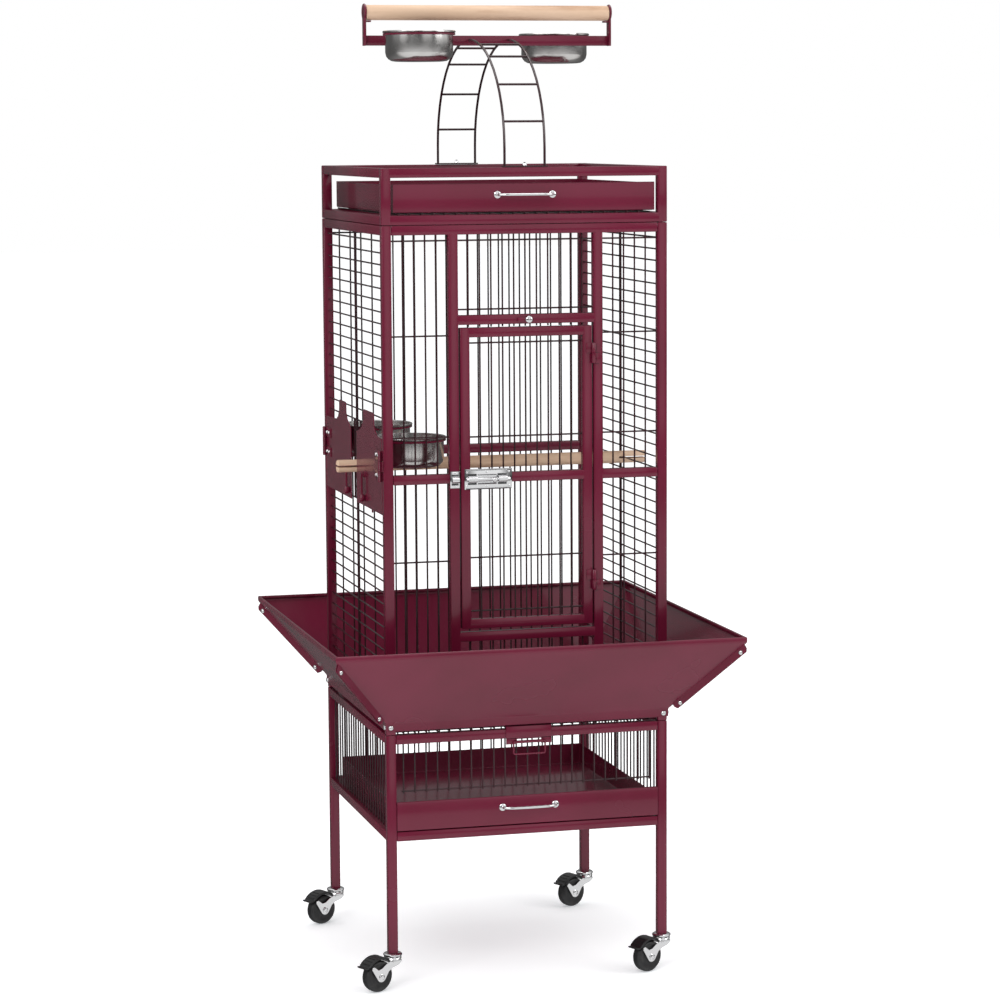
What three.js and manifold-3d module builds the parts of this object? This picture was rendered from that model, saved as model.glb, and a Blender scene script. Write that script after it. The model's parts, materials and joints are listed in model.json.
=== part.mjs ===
// Bird cage on a wheeled stand: square wire cage with a seed skirt, a play top with a perch,
// ladders and cups, side feeder doors, a litter drawer and swivel casters.
// Millimetres. +X right, +Y back, +Z up. Origin at the floor under the cage's centre.
import * as THREE from 'three';
import { mergeVertices } from 'three/addons/utils/BufferGeometryUtils.js';
import Module from 'manifold-3d';

const wasm = await Module();
wasm.setup();

// ---------------------------------------------------------------- driving dimensions
const CAGE = 457;                 // outer width and depth of the cage (18 in)
const HALF = CAGE / 2;
const TUBE = 15;                  // square tube of every frame
const GAP = 0.3;                  // clearance between pieces that touch
const INNER = HALF - TUBE;        // inner face of the frame tubes
const WIRE = 2.7;                 // grille wire
const ROD = 4.5;                  // stiffening rods of the side grilles
const PITCH = 18.25;              // wire spacing
const HALF_COUNT = 11;            // grille wires each side of the middle one
const WIRE_PLANE = HALF - TUBE / 2;

const LEG_FOOT = 57;              // under side of the legs
const LOW_RAIL = 235;             // under side of the stand's lower rails
const HIGH_RAIL = 389;            // under side of the stand's upper rails
const STAND_TOP = HIGH_RAIL + TUBE;
const CAGE_FOOT = STAND_TOP + GAP;
const CAGE_SILL = 409.5;          // under side of the cage's bottom rails
const CAGE_FLOOR = CAGE_SILL + TUBE;
const CAGE_TOP = 1194.5;
const CAGE_HEAD = CAGE_TOP - TUBE;
const BOX_FOOT = 1195;            // play top box
const BOX_FLOOR = BOX_FOOT + TUBE;
const BOX_TOP = 1282;
const MID_RAIL = 795;             // under side of the cage's middle rails
const PERCH_Z = 805;              // inner perch and the side wire that carries it
const PERCH_Y = -14;

const PANEL_BOTTOM = 310;         // lower edge of the wires over the drawer
const SKIRT_OUT = 99.3;           // how far the skirt's rim stands out
const SKIRT_RIM = 549;
const SKIRT_LOW = 411.3;          // lower edge of the flange on the bottom rail
const HEM = 4.2;                  // folded rim
const SHEET = 1.2;

const DOOR_HALF = 106;
const DOOR_LOW = 566;
const DOOR_HIGH = 1036;
const JAMB_IN = 108.5;            // inner face of the door jambs
const DOOR_HINGE = { x: 107.2, y: -HALF - 3.7, r: 3.4 };
const DOOR_HINGE_Z = [636, 993];
const HINGE_HEIGHT = 32;

const BOLT_Z = 801;
const BOLT_Y = -HALF - 6;
const BOLT_ROD_R = 3.2;
const BOLT_LEFT = -101;
const BOLT_RIGHT = -25;
const BOLT_TIP = -99;             // tip of the withdrawn rod
const KEEPER_LEFT = -124;
const KEEPER_RIGHT = -108.8;
const TURN_Z = 1047.5;            // turn button over the door

const DRAWER_LOW = 251;
const DRAWER_FRONT_TOP = 297.5;
const GRATE_LOW = 404.6;
const GRATE_HIGH = 408.9;
const GRATE_BAR = -211;            // front face of the bar that ties the grate's wires, behind the slot
const GRATE_FRONT = -226;          // front ends of the grate's wires, which show in the slot
const BAIL_Y = -HALF - 4.6;
const BAIL_Z = 384;

const TRAY_LOW = 1213.4;
const TRAY_FRONT = -223.5;

const PLAY_Z = 1525;              // play perch centre
const PLAY_R = 12;
const STRAP_X = 204;              // outer face of the perch bracket's uprights
const STRAP = 3.5;
const BAR_LOW = 1473;
const BAR_HIGH = 1489;
const LADDER_X = 32;
const LADDER_WIRE_R = 2;
const ARCH_START = 1314;          // where the ladders start to curve in
const ARCH_RISE = 172;

const CUP_R = 53.5;
const CUP_RIM_R = 57.5;
const CUP_DEPTH = 48;
const RING_IN = 54.4;
const RING_OUT = 58.4;
const PLAY_CUP = { x: 130, y: 71.5, rim: 1494.4 };
const FEEDER_RIM = 860.4;

const PLATE_LOW = 748;
const PLATE_SHOULDER = 867;
const PLATE_CROWN = 902;
const FEEDERS = [
  { name: 'front', side: -1, free: 27, rod: 29, crown: 118, crownHalf: 38, latch: 85, cup: 118 },
  { name: 'rear', side: 1, free: 17, rod: 19, crown: 80, crownHalf: 26, latch: 32, cup: 118 },
];
const FEEDER_HINGE = { x: -HALF - 3.5, y: INNER, r: 3.1 };
const FEEDER_LATCH_Z = 799;

const WHEEL_R = 25;
const WHEEL_HALF = 9;
const CASTER_TRAIL = 31;
const CASTER_TURN = Math.PI + 0.44; // direction the wheels trail in, from +X
const LEG_CENTRE = HALF - TUBE / 2;
const AXLE_R = 2.6;
const AXLE_BORE = 3;

// ---------------------------------------------------------------- materials
const COLOURS = {
  frame_paint: [0x5f1b2d, 0.5, 0.3],
  wood: [0xdcb893, 0.0, 0.6],
  steel: [0xc8c8c8, 1.0, 0.25],
  chrome: [0xd8d8dc, 1.0, 0.12],
  tyre: [0x1c1d1f, 0.0, 0.55],
  brake_plastic: [0x121315, 0.0, 0.4],
};

function material(slot) {
  const [color, metalness, roughness] = COLOURS[slot];
  return new THREE.MeshStandardMaterial({ name: slot, color, metalness, roughness });
}

// ---------------------------------------------------------------- solids
function signedVolume(position, index) {
  const a = new THREE.Vector3();
  const b = new THREE.Vector3();
  const c = new THREE.Vector3();
  let total = 0;
  for (let i = 0; i < index.length; i += 3) {
    a.fromBufferAttribute(position, index[i]);
    b.fromBufferAttribute(position, index[i + 1]);
    c.fromBufferAttribute(position, index[i + 2]);
    total += a.dot(b.cross(c));
  }
  return total / 6;
}

function solid(geometry) {
  const bare = new THREE.BufferGeometry();
  const source = geometry.index ? geometry.toNonIndexed() : geometry;
  bare.setAttribute('position', source.getAttribute('position').clone());
  const welded = mergeVertices(bare, 1e-4);
  const position = welded.getAttribute('position');
  const kept = [];
  const all = welded.index.array;
  for (let i = 0; i < all.length; i += 3) {
    const [p, q, r] = [all[i], all[i + 1], all[i + 2]];
    if (p !== q && q !== r && r !== p) {
      kept.push(p, q, r);
    }
  }
  if (signedVolume(position, kept) < 0) {
    kept.reverse();
  }
  const mesh = new wasm.Mesh({
    numProp: 3,
    vertProperties: new Float32Array(position.array),
    triVerts: new Uint32Array(kept),
  });
  return new wasm.Manifold(mesh);
}

function join(pieces) {
  let level = pieces;
  while (level.length > 1) {
    const next = [];
    for (let i = 0; i < level.length; i += 2) {
      next.push(i + 1 < level.length ? level[i].add(level[i + 1]) : level[i]);
    }
    level = next;
  }
  return level[0];
}

function ordered(a, b) {
  return a < b ? [a, b] : [b, a];
}

function box(x0, x1, y0, y1, z0, z1) {
  const g = new THREE.BoxGeometry(x1 - x0, y1 - y0, z1 - z0);
  g.translate((x0 + x1) / 2, (y0 + y1) / 2, (z0 + z1) / 2);
  return solid(g);
}

function cylinder(axis, centre, radius, length, sides = 16) {
  const g = new THREE.CylinderGeometry(radius, radius, length, sides);
  if (axis === 'x') {
    g.rotateZ(Math.PI / 2);
  }
  if (axis === 'z') {
    g.rotateX(Math.PI / 2);
  }
  g.translate(...centre);
  return solid(g);
}

function lathe(profile, centre, sides) {
  const points = profile.map(([r, z]) => new THREE.Vector2(r, z));
  const g = new THREE.LatheGeometry(points, sides);
  g.rotateX(Math.PI / 2);
  g.translate(...centre);
  return solid(g);
}

function plateYZ(outline, x, thickness) {
  // outline points are [y, z]; the plate runs from x to x + thickness
  const shape = new THREE.Shape(outline.map(([y, z]) => new THREE.Vector2(y, z)));
  const g = new THREE.ExtrudeGeometry(shape, { depth: thickness, bevelEnabled: false });
  g.applyMatrix4(new THREE.Matrix4().makeBasis(
    new THREE.Vector3(0, 1, 0), new THREE.Vector3(0, 0, 1), new THREE.Vector3(1, 0, 0)));
  g.translate(x, 0, 0);
  return solid(g);
}

function bentRod(points, radius, sides, steps) {
  const outline = [];
  for (let i = 0; i < sides; i += 1) {
    const a = (2 * Math.PI * (i + 0.5)) / sides;
    outline.push(new THREE.Vector2(radius * Math.cos(a), radius * Math.sin(a)));
  }
  const path = new THREE.CatmullRomCurve3(points.map((p) => new THREE.Vector3(...p)));
  const g = new THREE.ExtrudeGeometry(new THREE.Shape(outline), {
    extrudePath: path, steps, bevelEnabled: false,
  });
  return solid(g);
}

function wireX(x0, x1, y, z, thick = WIRE) {
  return box(x0, x1, y - thick / 2, y + thick / 2, z - thick / 2, z + thick / 2);
}

function wireY(x, y0, y1, z, thick = WIRE) {
  return box(x - thick / 2, x + thick / 2, y0, y1, z - thick / 2, z + thick / 2);
}

function wireZ(x, y, z0, z1, thick = WIRE) {
  return box(x - thick / 2, x + thick / 2, y - thick / 2, y + thick / 2, z0, z1);
}

function gridPositions(count = HALF_COUNT) {
  const list = [];
  for (let k = -count; k <= count; k += 1) {
    list.push(k * PITCH);
  }
  return list;
}

const group = new THREE.Group();
group.name = 'bird_cage_on_stand';

function geometryOf(piece) {
  const mesh = piece.getMesh();
  const geometry = new THREE.BufferGeometry();
  geometry.setAttribute('position', new THREE.BufferAttribute(new Float32Array(mesh.vertProperties), 3));
  geometry.setIndex(new THREE.BufferAttribute(new Uint32Array(mesh.triVerts), 1));
  return geometry;
}

function addNode(name, slot, piece) {
  const geometry = geometryOf(piece);
  geometry.computeVertexNormals();
  const node = new THREE.Mesh(geometry, material(slot));
  node.name = name;
  group.add(node);
}

// ---------------------------------------------------------------- stand
// Each side of the stand is one welded frame: two legs, two rails, upright wires, the drawer's
// runner and the upper swivel plate of each caster.
const OVERLAP = 0.5;              // how far welded pieces run into each other
const RACE_R = 15;
const RACE_LOW = 53;
const LEDGE = 8;                  // how far the drawer's runners stand in from the rails

function standSide(side) {
  const xIn = side * INNER;
  const [x0, x1] = ordered(side * HALF, xIn);
  const pieces = [];
  for (const end of [-1, 1]) {
    pieces.push(box(x0, x1, ...ordered(end * HALF, end * INNER), LEG_FOOT, STAND_TOP));
    const centre = [side * LEG_CENTRE, end * LEG_CENTRE, (RACE_LOW + LEG_FOOT + OVERLAP) / 2];
    pieces.push(cylinder('z', centre, RACE_R, LEG_FOOT + OVERLAP - RACE_LOW, 12));
  }
  for (const low of [LOW_RAIL, HIGH_RAIL]) {
    pieces.push(box(x0, x1, -INNER, INNER, low, low + TUBE));
  }
  for (const y of gridPositions()) {
    pieces.push(wireZ(side * WIRE_PLANE, y, LOW_RAIL + TUBE - OVERLAP, HIGH_RAIL + OVERLAP));
  }
  const ledge = ordered(side * (INNER - LEDGE), xIn);
  const ledgeTop = LOW_RAIL + TUBE;
  pieces.push(box(...ledge, -INNER + LEDGE, INNER - LEDGE, ledgeTop - 2, ledgeTop));
  return join(pieces);
}

const BAY = INNER - GAP;          // half width left between the corner posts

function standRear() {
  const pieces = [];
  for (const low of [LOW_RAIL, HIGH_RAIL]) {
    pieces.push(box(-BAY, BAY, INNER, HALF, low, low + TUBE));
  }
  for (const x of gridPositions()) {
    pieces.push(wireZ(x, WIRE_PLANE, LOW_RAIL + TUBE - OVERLAP, HIGH_RAIL + OVERLAP));
  }
  return join(pieces);
}

function standFrontGrille() {
  const pieces = [box(-BAY, BAY, -HALF, -INNER, HIGH_RAIL, STAND_TOP)];
  for (const x of gridPositions()) {
    pieces.push(wireZ(x, -WIRE_PLANE, PANEL_BOTTOM, HIGH_RAIL + OVERLAP));
  }
  const edge = HALF_COUNT * PITCH + WIRE;
  pieces.push(wireX(-edge, edge, -WIRE_PLANE + WIRE - OVERLAP, PANEL_BOTTOM + WIRE));
  return join(pieces);
}

// ---------------------------------------------------------------- drawer and grate
function openTray(x, y0, y1, z0, z1, wall) {
  const outer = box(-x, x, y0, y1, z0, z1);
  return outer.subtract(box(-x + wall, x - wall, y0 + wall, y1 - wall, z0 + wall, z1 + 1));
}

function bowHandle(y, z, half, standOut) {
  const points = [
    [-half, y + 1, z], [-half, y - standOut * 0.55, z], [-half * 0.8, y - standOut * 0.95, z],
    [-half * 0.4, y - standOut, z], [half * 0.4, y - standOut, z],
    [half * 0.8, y - standOut * 0.95, z], [half, y - standOut * 0.55, z], [half, y + 1, z],
  ];
  const bow = bentRod(points, 2.4, 6, 14);
  const feet = [-half, half].map((x) => cylinder('y', [x, y - 1, z], 5, 2, 8));
  const cutter = box(-half - 9, half + 9, y - GAP, y + 9, z - 9, z + 9);
  return join([bow, ...feet]).subtract(cutter);
}

const DRAWER_X = 210;
const DRAWER_BACK = 206;
const DRAWER_FACE = -HALF - 0.5;

function drawer() {
  const tray = openTray(DRAWER_X, DRAWER_FACE + SHEET, DRAWER_BACK, DRAWER_LOW, 286, SHEET);
  const front = box(-BAY, BAY, DRAWER_FACE, DRAWER_FACE + SHEET + OVERLAP, DRAWER_LOW, DRAWER_FRONT_TOP);
  const lip = box(-BAY, BAY, DRAWER_FACE, DRAWER_FACE + 7, DRAWER_FRONT_TOP - SHEET, DRAWER_FRONT_TOP);
  return join([tray, front, lip]);
}

function grate() {
  const x = DRAWER_X;
  const middle = (GRATE_LOW + GRATE_HIGH) / 2;
  const pieces = [
    box(-x, x, GRATE_BAR, GRATE_BAR + 6, GRATE_LOW, GRATE_HIGH),
    box(-x, x, 203, 209, GRATE_LOW, GRATE_HIGH),
    box(-37, 37, -HALF - 2.2, GRATE_BAR + 1, GRATE_HIGH - 1.4, GRATE_HIGH),
    box(-37, 37, -HALF - 2.2, -HALF - 0.8, BAIL_Z, GRATE_HIGH),
    cylinder('x', [0, BAIL_Y, BAIL_Z], 2.7, 44, 8),
  ];
  for (const at of gridPositions()) {
    pieces.push(wireY(at, GRATE_FRONT, 204, middle));
  }
  return join(pieces);
}

function grateBail() {
  const y = BAIL_Y;
  const low = BAIL_Z - 19.5;
  const reach = 27;
  const pieces = [wireX(-reach, reach, y, low, 2.8)];
  for (const side of [-1, 1]) {
    const x = side * (reach - 1.4);
    pieces.push(wireZ(x, y, low, BAIL_Z + 1.4, 2.8));
    const inner = side * (22 + GAP);
    pieces.push(wireX(Math.min(inner, x), Math.max(inner, x), y, BAIL_Z, 2.8));
  }
  return join(pieces);
}

// ---------------------------------------------------------------- seed skirt
// One flared sheet per side: a flange bolted to the cage's bottom rail, the slope and a hemmed
// rim. The ends are cut on the mitre.
function skirtPanel(turn) {
  const face = HALF + GAP;
  const slope = Math.atan2(SKIRT_RIM - CAGE_FLOOR, SKIRT_OUT);
  const nx = SHEET * Math.sin(slope);
  const nz = SHEET * Math.cos(slope);
  const top = SKIRT_RIM;
  const profile = [
    [0, SKIRT_LOW], [SHEET, SKIRT_LOW], [SHEET, CAGE_FLOOR - nz], [SKIRT_OUT, top - HEM * 2],
    [SKIRT_OUT, top], [SKIRT_OUT - HEM, top], [SKIRT_OUT - HEM, top - HEM], [0, CAGE_FLOOR + nx * 0.3],
  ];
  const shape = new THREE.Shape(profile.map(([o, z]) => new THREE.Vector2(o, z)));
  const g = new THREE.ExtrudeGeometry(shape, { depth: 2 * face, bevelEnabled: false });
  g.applyMatrix4(new THREE.Matrix4().makeBasis(
    new THREE.Vector3(0, -1, 0), new THREE.Vector3(0, 0, 1), new THREE.Vector3(-1, 0, 0)));
  g.translate(face, -face, 0);
  const position = g.getAttribute('position');
  for (let i = 0; i < position.count; i += 1) {
    const out = -position.getY(i) - face;
    const x = position.getX(i);
    position.setX(i, x + Math.sign(x) * (out - GAP / 2));
  }
  g.rotateZ(turn);
  return solid(g);
}

// ---------------------------------------------------------------- cage
function sideZ() {
  const list = [];
  for (let k = -20; k <= 20; k += 1) {
    list.push(PERCH_Z + k * PITCH);
  }
  return list;
}

const OPENING_LOW = PERCH_Z - 3 * PITCH;
const OPENING_HIGH = PERCH_Z + 4 * PITCH;

function cageSide(side, feeders) {
  const [x0, x1] = ordered(side * HALF, side * INNER);
  const xw = side * WIRE_PLANE;
  const pieces = [];
  for (const [y0, y1] of [[-HALF, -INNER], [INNER, HALF]]) {
    pieces.push(box(x0, x1, y0, y1, CAGE_FOOT, CAGE_TOP));
  }
  for (const low of [CAGE_SILL, CAGE_HEAD]) {
    pieces.push(box(x0, x1, -INNER, INNER, low, low + TUBE));
  }
  pieces.push(wireZ(xw, 0, CAGE_FLOOR - OVERLAP, CAGE_HEAD + OVERLAP, ROD));
  for (const z of sideZ()) {
    const inOpening = feeders.length > 0 && z > OPENING_LOW + 1 && z < OPENING_HIGH - 1;
    const from = inOpening ? -feeders[0].rod : -INNER - OVERLAP;
    const to = inOpening ? feeders[1].rod : INNER + OVERLAP;
    pieces.push(wireY(xw, from, to, z));
  }
  for (const feeder of feeders) {
    pieces.push(wireZ(xw, feeder.side * feeder.rod, OPENING_LOW, OPENING_HIGH, 3.4));
  }
  return join(pieces);
}

const SECTION_WIRES = [141.7, 159.4, 177.1, 194.8];
const SECTION_CROSS = [673, 867, 1024];
const DOOR_FRAME_SILL = 546;
const CROSS_RAIL = 1040.5;

function cageFront() {
  const y = -WIRE_PLANE;
  const crossY = y + WIRE - OVERLAP;
  const pieces = [];
  for (const low of [CAGE_SILL, CAGE_HEAD]) {
    pieces.push(box(-BAY, BAY, -HALF, -INNER, low, low + TUBE));
  }
  for (const side of [-1, 1]) {
    const jamb = ordered(side * JAMB_IN, side * (JAMB_IN + TUBE));
    pieces.push(box(...jamb, -HALF, -INNER, CAGE_FLOOR, CAGE_HEAD));
    const section = ordered(side * (JAMB_IN + TUBE), side * BAY);
    pieces.push(box(...section, -HALF, -INNER, MID_RAIL, MID_RAIL + TUBE));
    for (const x of SECTION_WIRES) {
      pieces.push(wireZ(side * x, y, CAGE_FLOOR - OVERLAP, CAGE_HEAD + OVERLAP));
    }
    const cross = ordered(side * (JAMB_IN + TUBE - OVERLAP), side * BAY);
    for (const z of SECTION_CROSS) {
      pieces.push(wireX(...cross, crossY, z));
    }
  }
  for (const low of [DOOR_FRAME_SILL, CROSS_RAIL]) {
    pieces.push(box(-JAMB_IN, JAMB_IN, -HALF, -INNER, low, low + TUBE));
  }
  for (const x of gridPositions(5)) {
    pieces.push(wireZ(x, y, CAGE_FLOOR - OVERLAP, DOOR_FRAME_SILL + OVERLAP));
    pieces.push(wireZ(x, y, CROSS_RAIL + TUBE - OVERLAP, CAGE_HEAD + OVERLAP));
  }
  pieces.push(wireX(-BAY, BAY, crossY, 1170.5));
  pieces.push(wireX(-JAMB_IN - OVERLAP, JAMB_IN + OVERLAP, crossY, 1064));
  return join(pieces);
}

function cageRear() {
  const y = WIRE_PLANE;
  const pieces = [];
  for (const low of [CAGE_SILL, MID_RAIL, CAGE_HEAD]) {
    pieces.push(box(-BAY, BAY, INNER, HALF, low, low + TUBE));
  }
  for (const x of gridPositions()) {
    pieces.push(wireZ(x, y, CAGE_FLOOR - OVERLAP, CAGE_HEAD + OVERLAP));
  }
  pieces.push(wireX(-BAY, BAY, y + WIRE - OVERLAP, 1170.5));
  return join(pieces);
}

// ---------------------------------------------------------------- door and its hardware
const DOOR_CROSS = [593, 677, 866, 1012];
const LEAF = 1.6;                 // hinge leaf and bolt plate

function door() {
  const y = -WIRE_PLANE;
  const inside = DOOR_HALF - TUBE;
  const pieces = [];
  for (const side of [-1, 1]) {
    const stile = ordered(side * inside, side * DOOR_HALF);
    pieces.push(box(...stile, -HALF, -INNER, DOOR_LOW, DOOR_HIGH));
  }
  for (const low of [DOOR_LOW, MID_RAIL, DOOR_HIGH - TUBE]) {
    pieces.push(box(-inside, inside, -HALF, -INNER, low, low + TUBE));
  }
  for (const x of gridPositions(4)) {
    pieces.push(wireZ(x, y, DOOR_LOW + TUBE - OVERLAP, DOOR_HIGH - TUBE + OVERLAP));
  }
  for (const z of DOOR_CROSS) {
    pieces.push(wireX(-inside - OVERLAP, inside + OVERLAP, y + WIRE - OVERLAP, z));
  }
  for (const z of DOOR_HINGE_Z) {
    pieces.push(doorKnuckle(z, 1));
  }
  return join(pieces);
}

function doorKnuckle(z, which) {
  // which: 1 is the upper knuckle with its leaf on the door, -1 the lower one on the jamb
  const { x, y, r } = DOOR_HINGE;
  const span = ordered(z + (which * GAP) / 2, z + (which * HINGE_HEIGHT) / 2);
  const knuckle = cylinder('z', [x, y, (span[0] + span[1]) / 2], r, span[1] - span[0], 12);
  const face = which > 0 ? -HALF + OVERLAP : -HALF - GAP;
  const leaf = box(...ordered(x, x - which * 11.5), -HALF - LEAF, face, ...span);
  const neck = box(x - 1, x + 1, y, face, ...span);
  return join([knuckle, leaf, neck]);
}

function saddle(x0, x1, play) {
  const block = box(x0, x1, BOLT_Y - BOLT_ROD_R - 1.6, -HALF - 0.8, BOLT_Z - 6.5, BOLT_Z + 6.5);
  const bore = cylinder('x', [(x0 + x1) / 2, BOLT_Y, BOLT_Z], BOLT_ROD_R + play, x1 - x0 + 4, 14);
  return [block, bore];
}

function boltBody() {
  const plate = box(BOLT_LEFT, BOLT_RIGHT, -HALF - LEAF, -HALF - GAP, BOLT_Z - 16, BOLT_Z + 16);
  const [leftSaddle, leftBore] = saddle(-96, -84, GAP);
  const [rightSaddle, rightBore] = saddle(-46, -36, GAP);
  return join([plate, leftSaddle, rightSaddle]).subtract(leftBore).subtract(rightBore);
}

function boltRod() {
  const rod = cylinder('x', [(BOLT_TIP - 29) / 2, BOLT_Y, BOLT_Z], BOLT_ROD_R, -29 - BOLT_TIP, 14);
  const stem = cylinder('y', [-56, BOLT_Y - 6, BOLT_Z], 2.2, 12, 10);
  const knob = cylinder('y', [-56, BOLT_Y - 13, BOLT_Z], 4, 4, 12);
  return join([rod, stem, knob]);
}

function boltKeeper() {
  const plate = box(KEEPER_LEFT, KEEPER_RIGHT, -HALF - LEAF, -HALF - GAP, BOLT_Z - 13, BOLT_Z + 13);
  const [block, bore] = saddle(KEEPER_LEFT + 3, KEEPER_RIGHT - 2, 0.8);
  return join([plate, block]).subtract(bore);
}

function turnButton() {
  const y = -HALF - GAP;
  return join([
    cylinder('y', [2.6, y - 1, TURN_Z], 5.5, 2, 14),
    box(-15, 2.6, y - 3, y - 1, TURN_Z - 3.5, TURN_Z + 3.5),
    cylinder('y', [2.6, y - 5, TURN_Z], 6.2, 7, 14),
  ]);
}

// ---------------------------------------------------------------- side feeders
function ring(centre, top, height) {
  const outer = cylinder('z', [centre[0], centre[1], top - height / 2], RING_OUT, height, 18);
  const inner = cylinder('z', [centre[0], centre[1], top - height / 2], RING_IN, height + 2, 18);
  return outer.subtract(inner);
}

function crownOutline({ free, crown, crownHalf }) {
  const post = INNER - 1;
  const z = PLATE_SHOULDER;
  const rise = PLATE_CROWN - z;
  const foot = crownHalf + 16;
  return [
    [free, PLATE_LOW], [post, PLATE_LOW], [post, z - 6], [post - 3, z],
    [Math.min(crown + foot + 10, post - 4), z + 1], [crown + foot - 6, z + rise * 0.2],
    [crown + crownHalf + 1, z + rise * 0.5], [crown + crownHalf, z + rise - 4],
    [crown + crownHalf - 4, z + rise], [crown - crownHalf + 4, z + rise],
    [crown - crownHalf, z + rise - 4], [crown - crownHalf - 1, z + rise * 0.5],
    [crown - foot + 6, z + rise * 0.2], [Math.max(crown - foot - 10, free + 4), z + 1], [free, z - 5],
  ];
}

const PLATE = 1.5;
const FEEDER_CUP_X = -161.5;
const LUG_REACH = 10;             // how far the ring's lug stands in from the plate's outer face
const LUG_HALF = 12;
const FEEDER_KNUCKLES = [[800, 816], [832, 848]];
const FEEDER_PIN_SPAN = [816.3, 831.7];

function feederLeaf(feeder, zSpan, onDoor) {
  const { x, y, r } = FEEDER_HINGE;
  const s = feeder.side;
  const [z0, z1] = zSpan;
  const knuckle = cylinder('z', [x, s * y, (z0 + z1) / 2], r, z1 - z0, 12);
  const reach = onDoor ? [y - 40, y] : [y, HALF - 1];
  const ys = ordered(s * reach[0], s * reach[1]);
  const inner = onDoor ? -HALF + OVERLAP : -HALF - GAP;
  return knuckle.add(box(-HALF - LEAF, inner, ...ys, z0, z1));
}

function feederDoor(feeder) {
  const s = feeder.side;
  const outline = crownOutline(feeder).map(([y, z]) => [s * y, z]);
  const plate = plateYZ(outline, -HALF, PLATE);
  const ys = ordered(s * (feeder.cup - LUG_HALF), s * (feeder.cup + LUG_HALF));
  const lug = box(-HALF + 1, -HALF + LUG_REACH, ...ys, FEEDER_RIM - 8, FEEDER_RIM - 2.7);
  const pivot = cylinder('x', [-HALF - 1, s * feeder.latch, FEEDER_LATCH_Z], 5.5, 2.4, 12);
  const hole = cylinder('x', [-HALF, s * feeder.latch, FEEDER_LATCH_Z], 2.5, 8, 12);
  const pieces = [
    plate,
    ring([FEEDER_CUP_X, s * feeder.cup], FEEDER_RIM - 2.4, 4),
    lug,
    pivot,
    ...FEEDER_KNUCKLES.map((span) => feederLeaf(feeder, span, true)),
  ];
  return join(pieces).subtract(hole);
}

function feederHinge(feeder) {
  return feederLeaf(feeder, FEEDER_PIN_SPAN, false);
}

function feederLatch(feeder) {
  const y = feeder.side * feeder.latch;
  const z = FEEDER_LATCH_Z;
  const outX = -HALF - 2.5 - 2;
  const inX = -WIRE_PLANE + 5.2;
  const tongue = Math.abs(feeder.latch - feeder.rod) + 6;
  return join([
    cylinder('x', [outX, y, z], 4.5, 3.4, 12),
    cylinder('x', [(outX + inX) / 2, y, z], 2.2, inX - outX, 12),
    wireZ(outX, y, z - 38, z, 3.2),
    cylinder('x', [outX, y, z - 38], 6, 9, 12),
    wireZ(inX, y, z - tongue, z + 3, 3),
  ]);
}

function cup(centre, rim) {
  const r = CUP_R;
  const d = CUP_DEPTH;
  const t = 1;
  return lathe([
    [0, -d], [r - 11, -d], [r, -d + 11], [r, -1.6], [CUP_RIM_R, -1.6],
    [CUP_RIM_R, 0], [r - t, 0], [r - t, -d + 11.6], [r - 11.6, -d + t], [0, -d + t],
  ], [centre[0], centre[1], rim], 18);
}

// ---------------------------------------------------------------- perches
function innerPerch() {
  const half = 258;
  const length = 2 * half;
  const dowel = cylinder('x', [0, PERCH_Y, PERCH_Z], 10, length, 16);
  const kerf = WIRE + 2 * GAP;
  const cuts = [[-half - 1, -INNER + 2], [INNER - 2, half + 1]].map(([x0, x1]) => box(
    x0, x1, PERCH_Y - 12, PERCH_Y + 12, PERCH_Z - kerf / 2, PERCH_Z + kerf / 2));
  return dowel.subtract(cuts[0]).subtract(cuts[1]);
}

function playPerch() {
  const half = STRAP_X - STRAP - GAP;
  return cylinder('x', [0, 0, PLAY_Z], PLAY_R, 2 * half, 18);
}

function perchBracket() {
  const pieces = [box(-STRAP_X, STRAP_X, -1.5, 1.5, BAR_LOW, BAR_HIGH)];
  for (const side of [-1, 1]) {
    const upright = ordered(side * (STRAP_X - STRAP), side * STRAP_X);
    pieces.push(box(...upright, -8, 8, BAR_LOW, PLAY_Z + 8));
    pieces.push(cylinder('x', [side * (STRAP_X - STRAP / 2), 0, PLAY_Z + 1], PLAY_R + 1, STRAP, 18));
    const tab = ordered(side * (STRAP_X - 12), side * (STRAP_X - 1));
    pieces.push(box(...tab, -5, 5, PLAY_Z - PLAY_R - 3, PLAY_Z - PLAY_R - GAP));
    const x = side * PLAY_CUP.x;
    const y = side * PLAY_CUP.y;
    pieces.push(ring([x, y], PLAY_CUP.rim - 2, 4));
    const arm = ordered(side * 0.5, side * (PLAY_CUP.y - RING_OUT + 3));
    pieces.push(box(x - LUG_HALF, x + LUG_HALF, ...arm, PLAY_CUP.rim - 10, PLAY_CUP.rim - 5.4));
  }
  return join(pieces);
}

// ---------------------------------------------------------------- ladders
function archPoint(side, reach, t) {
  // t runs from 0 at the start of the curve to 1 at the bar
  const a = (t * Math.PI) / 2;
  const y = side * (3.8 + (reach - 3.8) * Math.cos(a));
  return [y, ARCH_START + (ARCH_RISE - 4) * Math.sin(a)];
}

function archAtHeight(side, reach, z) {
  return archPoint(side, reach, Math.asin((z - ARCH_START) / (ARCH_RISE - 4)) / (Math.PI / 2));
}

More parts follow.
